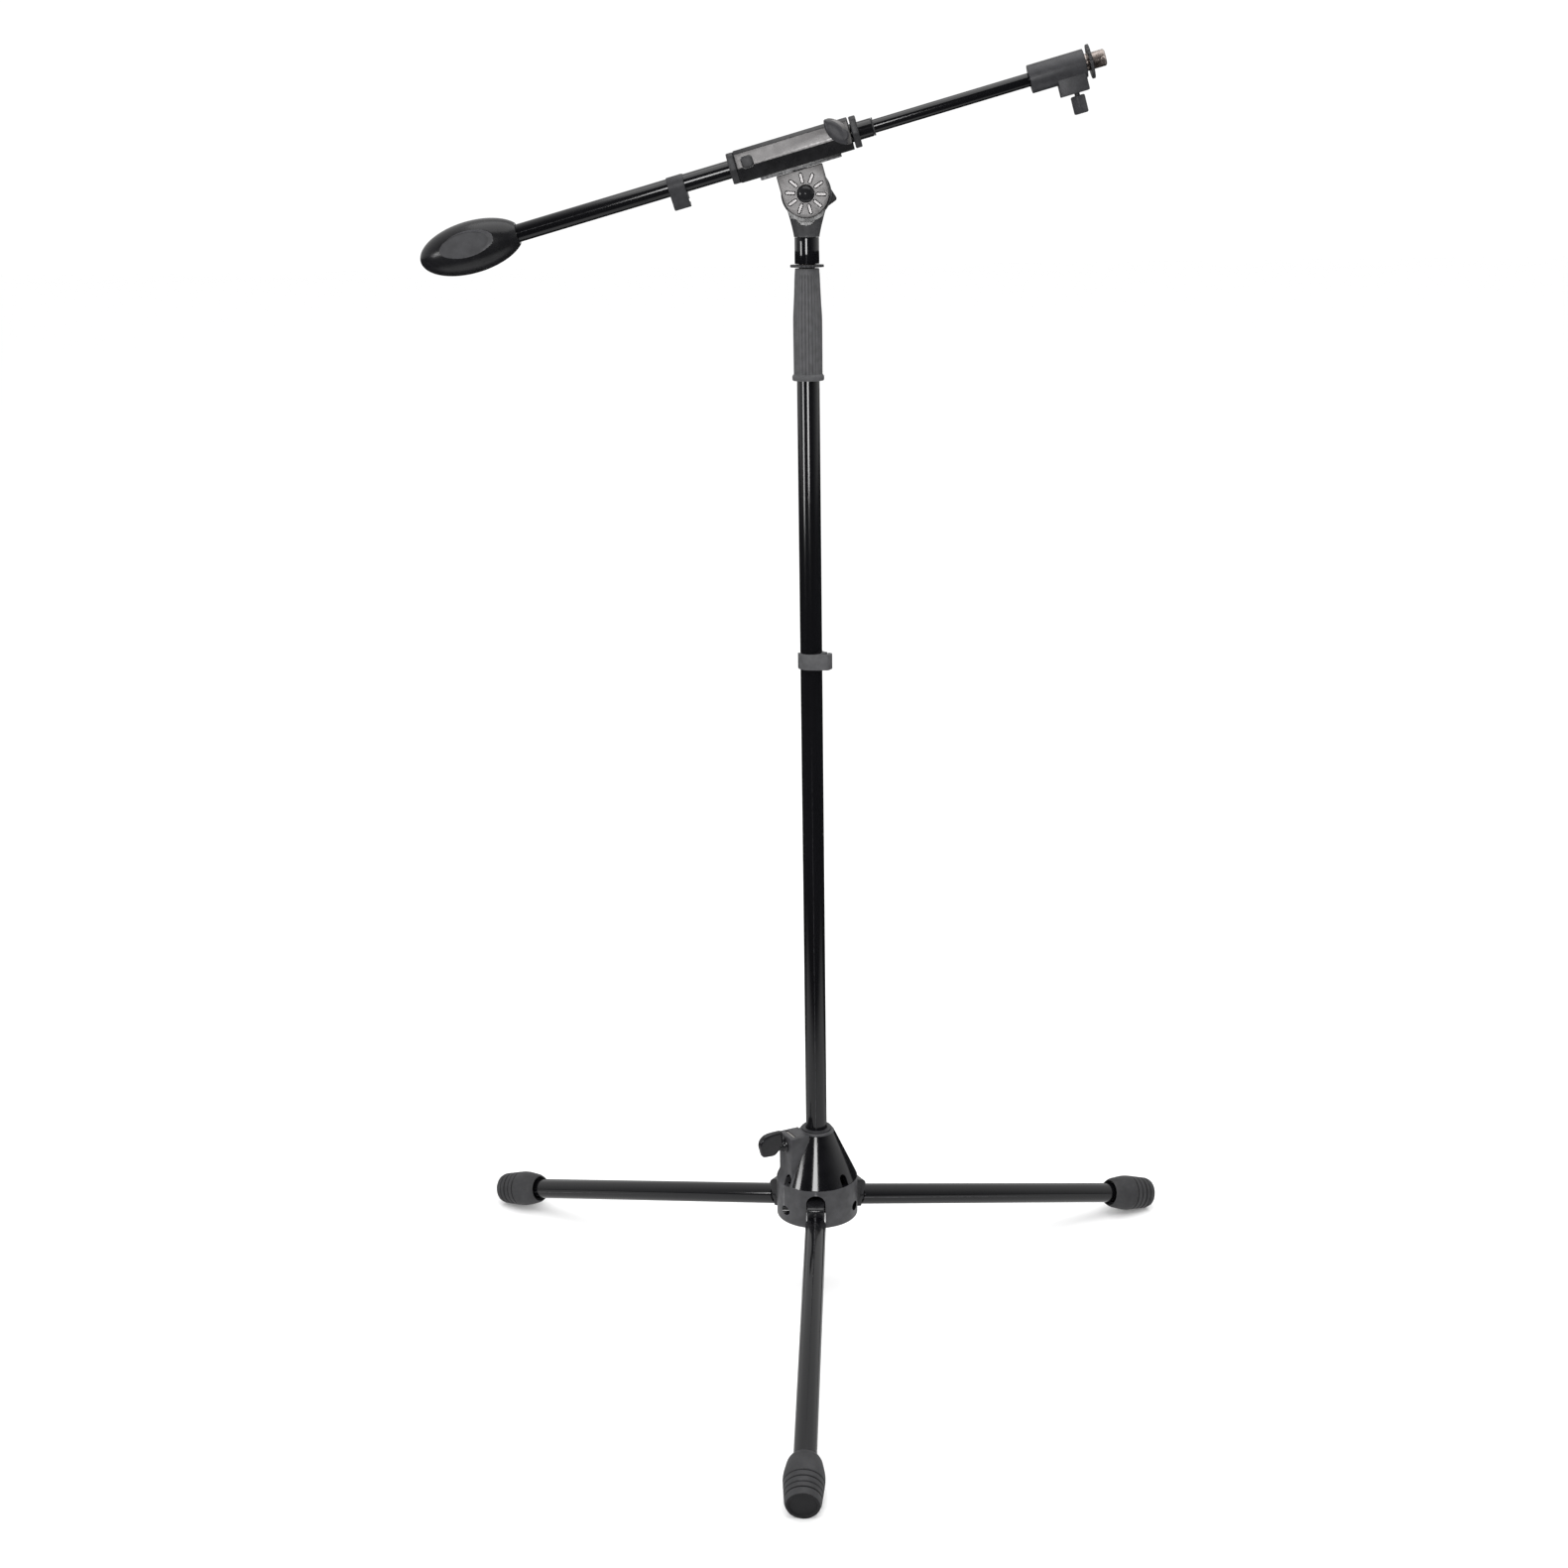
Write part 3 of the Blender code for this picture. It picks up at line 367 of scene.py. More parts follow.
def round_corners(points, size, steps=3, closed=True):
    """Rounds the corners of a line of 2-D points; an open line keeps its two ends."""
    count = len(points)
    result = []
    for index, point in enumerate(points):
        if not closed and index in (0, count - 1):
            result.append(tuple(point))
            continue
        here = Vector(point)
        before = Vector(points[index - 1]) - here
        after = Vector(points[(index + 1) % count]) - here
        reach = min(size, before.length * 0.45, after.length * 0.45)
        start = here + before.normalized() * reach
        end = here + after.normalized() * reach
        for step in range(steps + 1):
            t = step / steps
            result.append(tuple(start * (1 - t) ** 2 + here * 2 * t * (1 - t) + end * t * t))
    return result


def rounded(outline, size, steps=3):
    """Rounds a (radius, height) outline, which is a ring unless it starts on the axis."""
    return round_corners(outline, size, steps, closed=outline[0][0] > 0)


def new_object(name, verts, faces, place):
    mesh = bpy.data.meshes.new(name)
    mesh.from_pydata(verts, [], faces)
    mesh.validate()
    obj = bpy.data.objects.new(name, mesh)
    bpy.context.scene.collection.objects.link(obj)
    obj.matrix_world = place
    return obj


def revolve(name, outline, place, sides=72, ripple=None):
    """Turns an outline about local Z. It runs down the outer side first, and for a ring back up the
    inner side. ripple(angle, radius, height) adds to the radius."""
    verts = []
    rows = []
    for radius, height in outline:
        row = []
        for side in range(sides if radius > 1e-6 else 1):
            angle = math.tau * side / sides
            reach = radius + (ripple(angle, radius, height) if ripple and radius > 1e-6 else 0.0)
            row.append(len(verts))
            verts.append((reach * math.cos(angle), reach * math.sin(angle), height))
        rows.append(row)
    pairs = list(zip(rows, rows[1:]))
    if outline[0][0] > 1e-6:
        pairs.append((rows[-1], rows[0]))
    faces = []
    for upper, lower in pairs:
        for side in range(sides):
            following = (side + 1) % sides
            corners = [upper[side % len(upper)], lower[side % len(lower)],
                       lower[following % len(lower)], upper[following % len(upper)]]
            face = list(dict.fromkeys(corners))
            if len(face) > 2:
                faces.append(face)
    return new_object(name, verts, faces, place)


def pipe(name, outer, inner, low, high, place, sides=72, edge=0.0004):
    outline = [(outer, high), (outer, low), (inner, low), (inner, high)]
    return revolve(name, rounded(outline, edge), place, sides)


def rod(name, radius, low, high, place, sides=48, edge=0.0):
    outline = [(0, high), (radius, high), (radius, low), (0, low)]
    return revolve(name, rounded(outline, edge) if edge else outline, place, sides)


def prism(name, outline, low, high, place, edge=0.0, segments=3, angle=30):
    """An outline in local XY, counter-clockwise, raised from low to high along local Z."""
    count = len(outline)
    verts = [(x, y, low) for x, y in outline] + [(x, y, high) for x, y in outline]
    faces = [list(range(count - 1, -1, -1)), list(range(count, 2 * count))]
    for index in range(count):
        following = (index + 1) % count
        faces.append([index, following, count + following, count + index])
    obj = new_object(name, verts, faces, place)
    return soften(obj, edge, segments, angle) if edge else obj


def box(name, low, high, place, edge=0.0, segments=3):
    outline = [(low[0], low[1]), (high[0], low[1]), (high[0], high[1]), (low[0], high[1])]
    return prism(name, outline, low[2], high[2], place, edge, segments)


def layered(name, layers, place):
    """Skins outlines of equal length, given from low to high as (outline, height), and closes both ends."""
    count = len(layers[0][0])
    verts = [(x, y, height) for outline, height in layers for x, y in outline]
    faces = [list(range(count - 1, -1, -1)), list(range(len(verts) - count, len(verts)))]
    for level in range(len(layers) - 1):
        for index in range(count):
            following = (index + 1) % count
            low, high = level * count, (level + 1) * count
            faces.append([low + index, low + following, high + following, high + index])
    return new_object(name, verts, faces, place)


def inset(outline, distance):
    """Moves each point of a counter-clockwise outline inwards, square to the outline."""
    count = len(outline)
    result = []
    for index in range(count):
        before, here, after = (Vector(outline[(index + k) % count]) for k in (-1, 0, 1))
        first, second = (here - before).normalized(), (after - here).normalized()
        inwards = Vector((-first.y - second.y, first.x + second.x)).normalized()
        lean = max(0.5, inwards.dot(Vector((-first.y, first.x))))
        result.append(tuple(here + inwards * (distance / lean)))
    return result


def cushioned(name, outline, low, high, edge, place, steps=4):
    """A slab whose two faces roll over to its sides with a rounded edge."""
    turns = [math.radians(90 * i / steps) for i in range(steps + 1)]
    lower = [(inset(outline, edge * (1 - math.sin(t))), low + edge * (1 - math.cos(t))) for t in turns]
    upper = [(inset(outline, edge * (1 - math.cos(t))), high - edge * (1 - math.sin(t))) for t in turns]
    return layered(name, lower + upper, place)


def arc(centre, radius, start, end, count):
    step = (end - start) / (count - 1)
    angles = [math.radians(start + step * i) for i in range(count)]
    return [(centre[0] + radius * math.cos(a), centre[1] + radius * math.sin(a)) for a in angles]


def through(points, steps):
    """A smooth curve through (radius, height) points."""
    result = []
    last = len(points) - 1
    for index in range(last):
        a, b, c, d = (Vector(points[min(max(index + k, 0), last)]) for k in (-1, 0, 1, 2))
        for step in range(steps):
            t = step / steps
            value = b * 2 + (c - a) * t + (a * 2 - b * 5 + c * 4 - d) * t ** 2
            value += (b * 3 - a - c * 3 + d) * t ** 3
            result.append(tuple(value * 0.5))
    result.append(tuple(points[-1]))
    return result


def bake(obj):
    """Applies an object's modifiers to its mesh."""
    bpy.context.view_layer.update()
    shaped = obj.evaluated_get(bpy.context.evaluated_depsgraph_get())
    mesh = bpy.data.meshes.new_from_object(shaped)
    obj.modifiers.clear()
    obj.data = mesh
    return obj


def soften(obj, width, segments=3, angle=30):
    bevel = obj.modifiers.new("edges", "BEVEL")
    bevel.width = width
    bevel.segments = segments
    bevel.limit_method = "ANGLE"
    bevel.angle_limit = math.radians(angle)
    return bake(obj)


def combine(obj, others, operation):
    for other in others:
        boolean = obj.modifiers.new(operation, "BOOLEAN")
        boolean.operation = operation
        boolean.solver = "EXACT"
        boolean.object = other
    bake(obj)
    for other in others:
        bpy.data.objects.remove(other, do_unlink=True)
    return obj


def cut(obj, *cutters):
    return combine(obj, cutters, "DIFFERENCE")


def fuse(obj, *others):
    return combine(obj, others, "UNION")


def show(obj, body, looks, nodes, sharp=38):
    """Gives a piece its finish and hands it to the frame in place of the CAD nodes it stands for."""
    obj.data.materials.clear()
    for look in looks if isinstance(looks, tuple) else (looks,):
        obj.data.materials.append(LOOKS[look])
    obj.data.shade_smooth()
    obj.data.set_sharp_from_angle(angle=math.radians(sharp))
    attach(obj, body)
    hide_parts(*nodes)
    return obj


def paint_faces(obj, index, chosen):
    """Gives the faces that pass chosen(centre, normal), both local, another of the piece's materials."""
    for face in obj.data.polygons:
        if chosen(face.center, face.normal):
            face.material_index = index


def threads(pitch, depth, low, high):
    """Ripple of a cut thread between two heights, with a short run-out at each end."""
    def ripple(angle, radius, height):
        inside = min(height - low, high - height) / pitch
        if inside <= 0:
            return 0.0
        phase = (height / pitch - angle / math.tau) % 1.0
        return -depth * abs(2 * phase - 1) * min(1.0, inside)
    return ripple


def threaded_outline(radius, low, high, rows_per_pitch=6):
    count = max(2, round((high - low) / THREAD_PITCH * rows_per_pitch))
    return [(radius, high - (high - low) * i / count) for i in range(count + 1)]


# ---------------------------------------------------------------- base

def hub_shell():
    """The cone and its skirt, hollow, with a sleeve for the mast."""
    slope = (SKIRT_R - COLLAR_R) / (HUB_TOP - 0.002 - SKIRT_TOP)
    inner_skirt = SKIRT_R - HUB_WALL
    roof = SKIRT_TOP - HUB_WALL
    throat = 0.1765
    outline = rounded([
        (COLLAR_R - 0.0015, HUB_TOP), (COLLAR_R, HUB_TOP - 0.0020), (SKIRT_R, SKIRT_TOP),
        (SKIRT_R, SKIRT_BOTTOM), (inner_skirt, SKIRT_BOTTOM), (inner_skirt, roof),
        (inner_skirt - slope * (throat - roof), throat), (SLEEVE_R, throat), (SLEEVE_R, LEDGE_Z - 0.003),
        (0.0075, LEDGE_Z - 0.003), (0.0075, LEDGE_Z), (0.0143, LEDGE_Z), (0.0143, HUB_TOP),
    ], 0.0009)
    return revolve("hub_shell", outline, MAST, 120)


def hub_bay_pieces(side):
    """What is added to the hub for one leg, and what is cut from it."""
    bay = leg_places(side)[0]
    pivot = bay @ moved_by(PIVOT_REACH, 0, PIVOT_Z)
    cheeks = [box(f"{side}_cheek", (0.0110, low, SKIRT_BOTTOM + 0.0003), (0.0405, low + 0.0030, 0.1345), bay)
              for low in (-0.01310, 0.00975)]
    seat = rod(f"{side}_boss", 0.0060, 0.0100, 0.0345, pivot @ TO_FRONT, 40)
    cut(seat, pipe("skirt_outside", 0.0700, SKIRT_R - 0.0004, 0.0700, 0.1500, MAST, 120))
    bosses = [seat, rod(f"{side}_boss", 0.0050, -0.0200, -0.0100, pivot @ TO_FRONT, 40)]
    opening = [(-SLOT_HALF, 0.0800), (SLOT_HALF, 0.0800)] + arc((0, 0.1210), SLOT_HALF, 0, 180, 25)
    slot_place = bay @ turned_by(90, "Z") @ turned_by(90, "X")
    slot = prism(f"{side}_slot", opening, 0.0362, 0.0602, slot_place)
    bore = revolve(f"{side}_bore", [
        (0, 0.0500), (0.0049, 0.0500), (0.0049, 0.0221), (0.0028, 0.0221), (0.0028, -0.0185), (0, -0.0185),
    ], pivot @ TO_FRONT, 40)
    return cheeks + bosses, [slot, bore]


def hub_casting():
    hub = hub_shell()
    added, removed = [], []
    for side in SIDES:
        more, less = hub_bay_pieces(side)
        added += more
        removed += less
    clamp_z = pivot_of("hub_knob_turn").z
    boss_low = (0.0150, -BOSS_HALF, 0.1365 - clamp_z)
    boss_high = (BOSS_REACH, BOSS_HALF, HUB_TOP - 0.0004 - clamp_z)
    added.append(box("boss", boss_low, boss_high, CLAMP, 0.0012))
    removed.append(box("slit", (0.0294, -0.0095, -0.0107), (0.0322, 0.0095, 0.0260), CLAMP, 0.0005, 2))
    removed.append(rod("bolt_hole", 0.0033, 0.0120, 0.0500, CLAMP @ ALONG_X, 32))
    for azimuth in (-47.0, 47.0, 180.0):
        bay = MAST @ turned_by(azimuth - 90, "Z") @ turned_by(90, "Z") @ turned_by(90, "X")
        window = [(-0.0045, 0.1362), (0.0045, 0.1362)] + arc((0, 0.1436), 0.0045, 0, 180, 13)
        removed.append(prism("window", window, 0.0300, 0.0500, bay))
    fuse(hub, *added)
    cut(hub, *removed)
    show(hub, "base", ("hub_enamel", "hub_grain"), ["hub_casting"], sharp=30)
    boss = MAST.inverted() @ CLAMP
    out, side = boss.col[0].xyz, boss.col[1].xyz

    def grainy(centre, normal):
        """The outside of the skirt, the clamp boss and the top rim; the cone between them stays glossy."""
        on_skirt = centre.z < SKIRT_TOP + 0.0002 and centre.to_2d().length > SKIRT_R - 0.0010
        on_boss = centre.dot(out) > 0.0160 and abs(abs(centre.dot(side)) - BOSS_HALF) < 0.0013
        on_face = centre.dot(out) > BOSS_REACH - 0.0013 and centre.z > SKIRT_TOP
        return on_skirt or on_boss or on_face or (normal.z > 0.5 and centre.z > HUB_TOP - 0.0030)

    paint_faces(hub, 1, grainy)


def hub_bush():
    outline = rounded([
        (0.0160, HUB_TOP + 0.0018), (0.0160, HUB_TOP + GAP), (0.0140, HUB_TOP + GAP), (0.0140, LEDGE_Z + GAP),
        (TUBE_R + GAP, LEDGE_Z + GAP), (TUBE_R + GAP, HUB_TOP + 0.0018),
    ], 0.0005)
    bush = revolve("hub_bush_ring", outline, MAST, 72)
    cut(bush, rod("shoe_hole", 0.0034, 0.0080, 0.0200, CLAMP @ ALONG_X, 24))
    return show(bush, "base", "black_moulding", ["hub_bush"])


def hub_knob():
    """Thumb knob: a flared hub on the clamp bolt and one broad wing, set high on the bolt."""
    outline = rounded([
        (0, 0.0450), (0.0048, 0.0450), (0.0054, 0.0425), (0.0066, 0.0400), (0.0084, BOSS_REACH + 0.0010),
        (0.0080, BOSS_REACH + GAP), (0.0030, BOSS_REACH + GAP), (0.0030, 0.0155), (0, 0.0155),
    ], 0.0010)
    knob = revolve("hub_wing", outline, CLAMP @ ALONG_X, 64)
    corners = [(0.0410, -0.0036), (0.0460, -0.0038), (0.0508, -0.0088), (0.0654, -0.0080), (0.0676, 0.0004),
               (0.0688, 0.0050), (0.0678, 0.0108), (0.0628, 0.0158), (0.0552, 0.0172), (0.0416, 0.0174)]
    wing = round_corners(corners, 0.0030, 4)
    fuse(knob, cushioned("wing", wing, -0.0036, 0.0036, 0.0024, CLAMP @ TO_FRONT))
    return show(knob, "hub_knob", "knob_moulding", ["hub_wing_knob"])


def leg_head(side, hinge):
    """Hinge block of a leg, with a shoulder and a spigot for the tube."""
    def from_level(reach, rise):
        cos, sin = math.cos(math.radians(LEG_SLOPE)), math.sin(math.radians(LEG_SLOPE))
        return (reach * cos - rise * sin, reach * sin + rise * cos)

    stop = SLEEVE_R + GAP - PIVOT_REACH
    outline = [from_level(stop, 0.0055), from_level(stop, 0.0010)]
    outline += [from_level(x, z) for x, z in arc((0, 0), 0.0110, 188, 250, 7)]
    outline += [(0.0000, -0.0108), (0.0246, -0.0108), (0.0246, 0.0150)]
    outline += arc((0.0196, 0.0143), 0.0050, 20, 90, 7) + [(0.0030, 0.0193), (-0.0060, 0.0125)]
    head = prism(f"leg_block_{side}", outline, -0.0090, 0.0090, hinge @ TO_FRONT, 0.0010, 3, 45)
    fuse(head, rod("spigot", TUBE_R - TUBE_WALL - GAP, 0.0200, 0.0600, hinge @ ALONG_X, 48, 0.0008))
    cut(head, rod("eye", 0.0028, -0.0200, 0.0200, hinge @ TO_FRONT, 32))
    return show(head, f"leg_{side}", "knob_moulding", [f"leg_head_{side}"])


def leg_screw(side, bay):
    """Hinge screw with a hexagon socket in its head."""
    place = bay @ moved_by(PIVOT_REACH, 0, PIVOT_Z) @ TO_FRONT
    outline = rounded([
        (0, 0.0252), (0.0044, 0.0252), (0.0044, 0.0224), (0.0025, 0.0224), (0.0025, -0.0180), (0, -0.0180),
    ], 0.0004)
    screw = revolve(f"hinge_screw_{side}", outline, place, 36)
    socket = arc((0, 0), 0.0023, 0, 300, 6)
    cut(screw, prism("socket", socket, 0.0236, 0.0300, place))
    return show(screw, "base", "black_steel", [f"leg_screw_{side}"])


def foot_outline():
    """Barrel foot as (radius, distance along the leg): grooves outside, a mouth round the tube."""
    mouth, length = FOOT_MOUTH, FOOT_LENGTH
    corners = [(0.0146, 0.00), (0.0166, 0.07), (0.0200, 0.39), (0.0172, 0.94), (0.0156, 1.00)]
    skin = [(radius, mouth + share * length) for radius, share in corners]
    skin = round_corners(skin, 0.0065, 8, closed=False)
    grooves = [mouth + distance for distance in (0.0290, 0.0354, 0.0418, 0.0478)]
    carved = []
    fine = 200
    for step in range(fine + 1):
        along = mouth + length * step / fine
        radius = next(a[0] + (b[0] - a[0]) * (along - a[1]) / (b[1] - a[1])
                      for a, b in zip(skin, skin[1:]) if along <= b[1] + 1e-9)
        depth = sum(0.0016 * math.exp(-((along - groove) / 0.00058) ** 2) for groove in grooves)
        carved.append((radius - depth, along))
    end = mouth + length
    sole = [(0, end - 0.0014), (0.0126, end - 0.0014), (0.0136, end), (0.0152, end)]
    inner = [(0.0138, mouth + 0.0004), (0.0130, mouth + 0.0080), (TUBE_R + GAP, mouth + 0.0085),
             (TUBE_R + GAP, mouth + 0.0305), (0, mouth + 0.0305)]
    return sole + list(reversed(carved)) + inner, end, grooves


def foot(side, hinge):
    outline, end, grooves = foot_outline()
    piece = revolve(f"foot_cup_{side}", outline, hinge @ ALONG_X, 96)
    to_leg = hinge @ ALONG_X
    back = to_leg.inverted()
    for vertex in piece.data.vertices:
        world = to_leg @ vertex.co
        if world.z < 0.0:
            world.z = 0.0
            vertex.co = back @ world
    show(piece, f"leg_{side}", ("foot_rubber", "sole_rubber"), [f"foot_{side}"])
    # The sole takes the darker rubber; the grooves take it too, as dirt and painted shade.
    paint_faces(piece, 1, lambda centre, normal: (centre.z > end - 0.0034 and normal.z > 0.45)
                or min(abs(centre.z - groove) for groove in grooves) < 0.00055)
    return piece


def legs():
    for side in SIDES:
        bay, hinge = leg_places(side)
        leg_head(side, hinge)
        leg_screw(side, bay)
        tube = pipe(f"leg_pipe_{side}", TUBE_R, TUBE_R - TUBE_WALL, 0.0251, 0.3930, hinge @ ALONG_X, 72)
        show(tube, f"leg_{side}", "tube_enamel", [f"leg_tube_{side}"])
        foot(side, hinge)


# ---------------------------------------------------------------- mast

def mast_tubes():
    outer = pipe("mast_pipe", TUBE_R, TUBE_R - TUBE_WALL, *heights("mast_outer_tube"), MAST, 96)
    show(outer, "mast_outer", "tube_enamel", ["mast_outer_tube"])
    inner = pipe("mast_inner_pipe", INNER_R, INNER_R - TUBE_WALL, *heights("mast_inner_tube"), MAST, 72)
    show(inner, "mast_inner", "tube_enamel", ["mast_inner_tube"])


def grip():
    """Clutch grip, tapered above and finely fluted along its length."""
    low, high = heights("clutch_grip")
    skin = [(0.0112, high), (SHAFT_R - 0.0002, high - 0.0008), (0.0123, high - 0.0100),
            (0.0127, high - 0.0205),
            (0.0133, high - 0.0330), (0.0140, high - 0.0455), (0.0141, high - 0.0600), (0.0140, low + 0.0062)]
    body = through(skin, 6)
    flange = [(0.0153, low + 0.0046), (0.0155, low + 0.0038), (0.0155, low + 0.0012), (0.0149, low)]
    inside = [(TUBE_R + GAP, low), (TUBE_R + GAP, 1.0400), (0.0108, 1.0500), (0.0096, 1.0570),
              (INNER_R + 2 * GAP, 1.0580), (INNER_R + 2 * GAP, high)]
    flutes = 24

    def fluted(angle, radius, height):
        if radius < 0.0121 or height < low + 0.0058 or height > high - 0.0030:
            return 0.0
        share = (angle * flutes / math.tau) % 1.0
        return -0.00075 * math.exp(-((share - 0.5) / 0.15) ** 2)

    piece = revolve("clutch_sleeve", body + flange + inside, MAST, flutes * 12, fluted)
    return show(piece, "grip", "grip_moulding", ["clutch_grip"])


def lock_ring(name, outer, low, high, place, body, node, notches=20):
    """A thin lock ring with a notched rim."""
    outline = rounded([(outer, high), (outer, low), (STUD_R + GAP, low), (STUD_R + GAP, high)], 0.0004)

    def notched(angle, radius, height):
        if radius < outer - 0.0010:
            return 0.0
        return -0.0007 * max(0.0, math.cos(notches * angle)) ** 3

    ring = revolve(name, outline, place, notches * 10, notched)
    return show(ring, body, "black_moulding", [node])


def mast_top():
    low, high = heights("mast_stud")
    top = 1.1035
    shoulder = 1.0798
    core = INNER_R - TUBE_WALL - GAP
    outline = [(0, high), (0.0066, high)] + threaded_outline(STUD_R, shoulder, top)
    outline += [(core, shoulder), (core, low), (0, low)]
    stud = revolve("thread_stud", outline, MAST, 64, threads(THREAD_PITCH, THREAD_DEPTH, shoulder, top))
    show(stud, "mast_inner", "plain_steel", ["mast_stud"])
    low, high = heights("mast_lock_ring")
    lock_ring("stud_ring", 0.01625, low, high, MAST, "mast_ring", "mast_lock_ring")


def cable_clip(name, grip_r, loop_reach, place, body, look, node):
    """Snap ring about local Z whose strap runs on round an open cable loop on local +X."""
    bore = grip_r + GAP
    rim = bore + 0.0022
    half = CLIP_WIDTH / 2
    loop_at = rim + 0.0046
    end = loop_at + loop_reach
    lean = math.degrees(math.acos((rim - 0.0052) / (end - 0.0030)))
    strap = arc((0, 0), rim, lean, 360 - lean, 65)
    strap += arc((end - 0.0030, -0.0030), 0.0030, -lean, 0, 9)
    strap += arc((end - 0.0030, 0.0030), 0.0030, 0, lean, 9)
    clip = cushioned(name, strap, -half, half, 0.0008, place)
    far = 0.0300
    cut(clip, rod("bore", bore, -far, far, place, 96),
        rod("eye", 0.0034, -far, far, place @ moved_by(end - 0.0060), 40),
        box("mouth", (end - 0.0076, 0.0, -far), (end - 0.0048, 0.0200, far), place),
        box("gap", (-0.0300, -0.0060, -far), (-0.0040, 0.0060, far), place))
    return show(clip, body, look, [node])


def mast_clip():
    low, high = heights("mast_cable_clip")
    place = MAST @ moved_by(0, 0, (low + high) / 2) @ turned_by(-25, "Z")
    cable_clip("mast_clip_ring", TUBE_R, 0.0036, place, "mast_clip", "grip_moulding",
               "mast_cable_clip")


# ---------------------------------------------------------------- knuckle and tilt joint

def knuckle():
    shaft_top = 1.1100
    shaft_low = heights("knuckle_sleeve")[0]
    sleeve = revolve("knuckle_shaft", rounded([
        (0, 1.1200), (0.0085, 1.1200), (0.0085, shaft_top - GAP), (SHAFT_R, shaft_top - GAP),
        (SHAFT_R, shaft_low), (STUD_R + GAP, shaft_low), (STUD_R + GAP, 1.1060), (0, 1.1060),
    ], 0.0005), MAST, 96)
    show(sleeve, "knuckle", "sleeve_enamel", ["knuckle_sleeve"])

    front, back = 0.0055, -0.0065
    disc = revolve("knuckle_disc", rounded([
        (0, front), (0.0226, front), (0.0240, front - 0.0014),
        (0.0240, back + 0.0014), (0.0226, back), (0, back),
    ], 0.0003), KNUCKLE @ TO_FRONT, 120)
    neck = revolve("neck", through([
        (0.0186, 1.1360), (0.0166, 1.1290), (0.0140, 1.1190), (0.0126, 1.1125), (0.0123, shaft_top),
    ], 8) + [(0, shaft_top), (0, 1.1360)], MAST, 96)
    neck.data.flip_normals()
    saddle = revolve("saddle", [
        (0, 0.0400), (0.0300, 0.0400), (0.0290, 0.0141), (0.0260, 0.0130), (0.0260, front), (0, front),
    ], KNUCKLE @ TO_FRONT, 144)
    cut(neck, saddle, box("back_flat", (-0.0300, 0.0134, 1.1120), (0.0300, 0.0300, 1.1500), MAST))
    fuse(disc, neck)
    swung = TILT @ TO_FRONT @ turned_by(TILT_LIMIT, "Z")
    cut(disc, prism("swing_room", plate_outline(PLATE_R + 0.0005), 0.0070, 0.0300, swung),
        rod("neck_bore", 0.0088, 1.1000, 1.1203, MAST, 48),
        rod("bolt_bore", 0.0043, -0.0300, 0.0300, KNUCKLE @ TO_FRONT, 40))
    show(disc, "knuckle", ("joint_casting", "bright_edge", "holder_casting"),
         ["knuckle_casting"], sharp=32)

    def off_axis(centre):
        return math.hypot(centre.x, centre.y)

    # The disc's front face round the plate takes the darker black as painted shade of the gap behind the
    # plate's edge.
    paint_faces(disc, 2, lambda centre, normal: off_axis(centre) < 0.0263 and centre.z > front - 0.0002)
    # The chamfer ring above the saddle is painted bright metal as a painted highlight.
    paint_faces(disc, 1, lambda centre, normal: 0.0262 < off_axis(centre) < 0.0290 and 0.0128 < centre.z
                and 0.80 < normal.z < 0.98)


def plate_outline(radius):
    """Swivel plate seen from the front: round at the foot, straight sides up to the holder."""
    top = BOOM_RISE - HOLDER_HALF - 0.0030 - GAP
    return arc((0, 0), radius, 180, 360, 49) + [(radius, top), (-radius, top)]


def tilt_lever():
    lever = revolve("clamp_lever", rounded([
        (0, -0.0070), (0.0110, -0.0070), (0.0110, -0.0150),
        (0.0090, -0.0180), (0.0090, -0.0220), (0, -0.0220),
    ], 0.0009), KNUCKLE @ TO_FRONT, 64)
    corners = [(0.0, -0.0100), (0.0205, -0.0098), (0.0300, 0.0), (0.0205, 0.0098), (0.0, 0.0100)]
    arm_place = KNUCKLE @ turned_by(11, "Y") @ TO_FRONT
    fuse(lever, cushioned("arm", round_corners(corners, 0.0030, 5), -0.0220, -0.0140, 0.0018, arm_place))
    cut(lever, rod("bore", 0.0043, -0.0193, 0.0, KNUCKLE @ TO_FRONT, 40))
    return show(lever, "tilt_lever", "black_moulding", ["tilt_lever"])


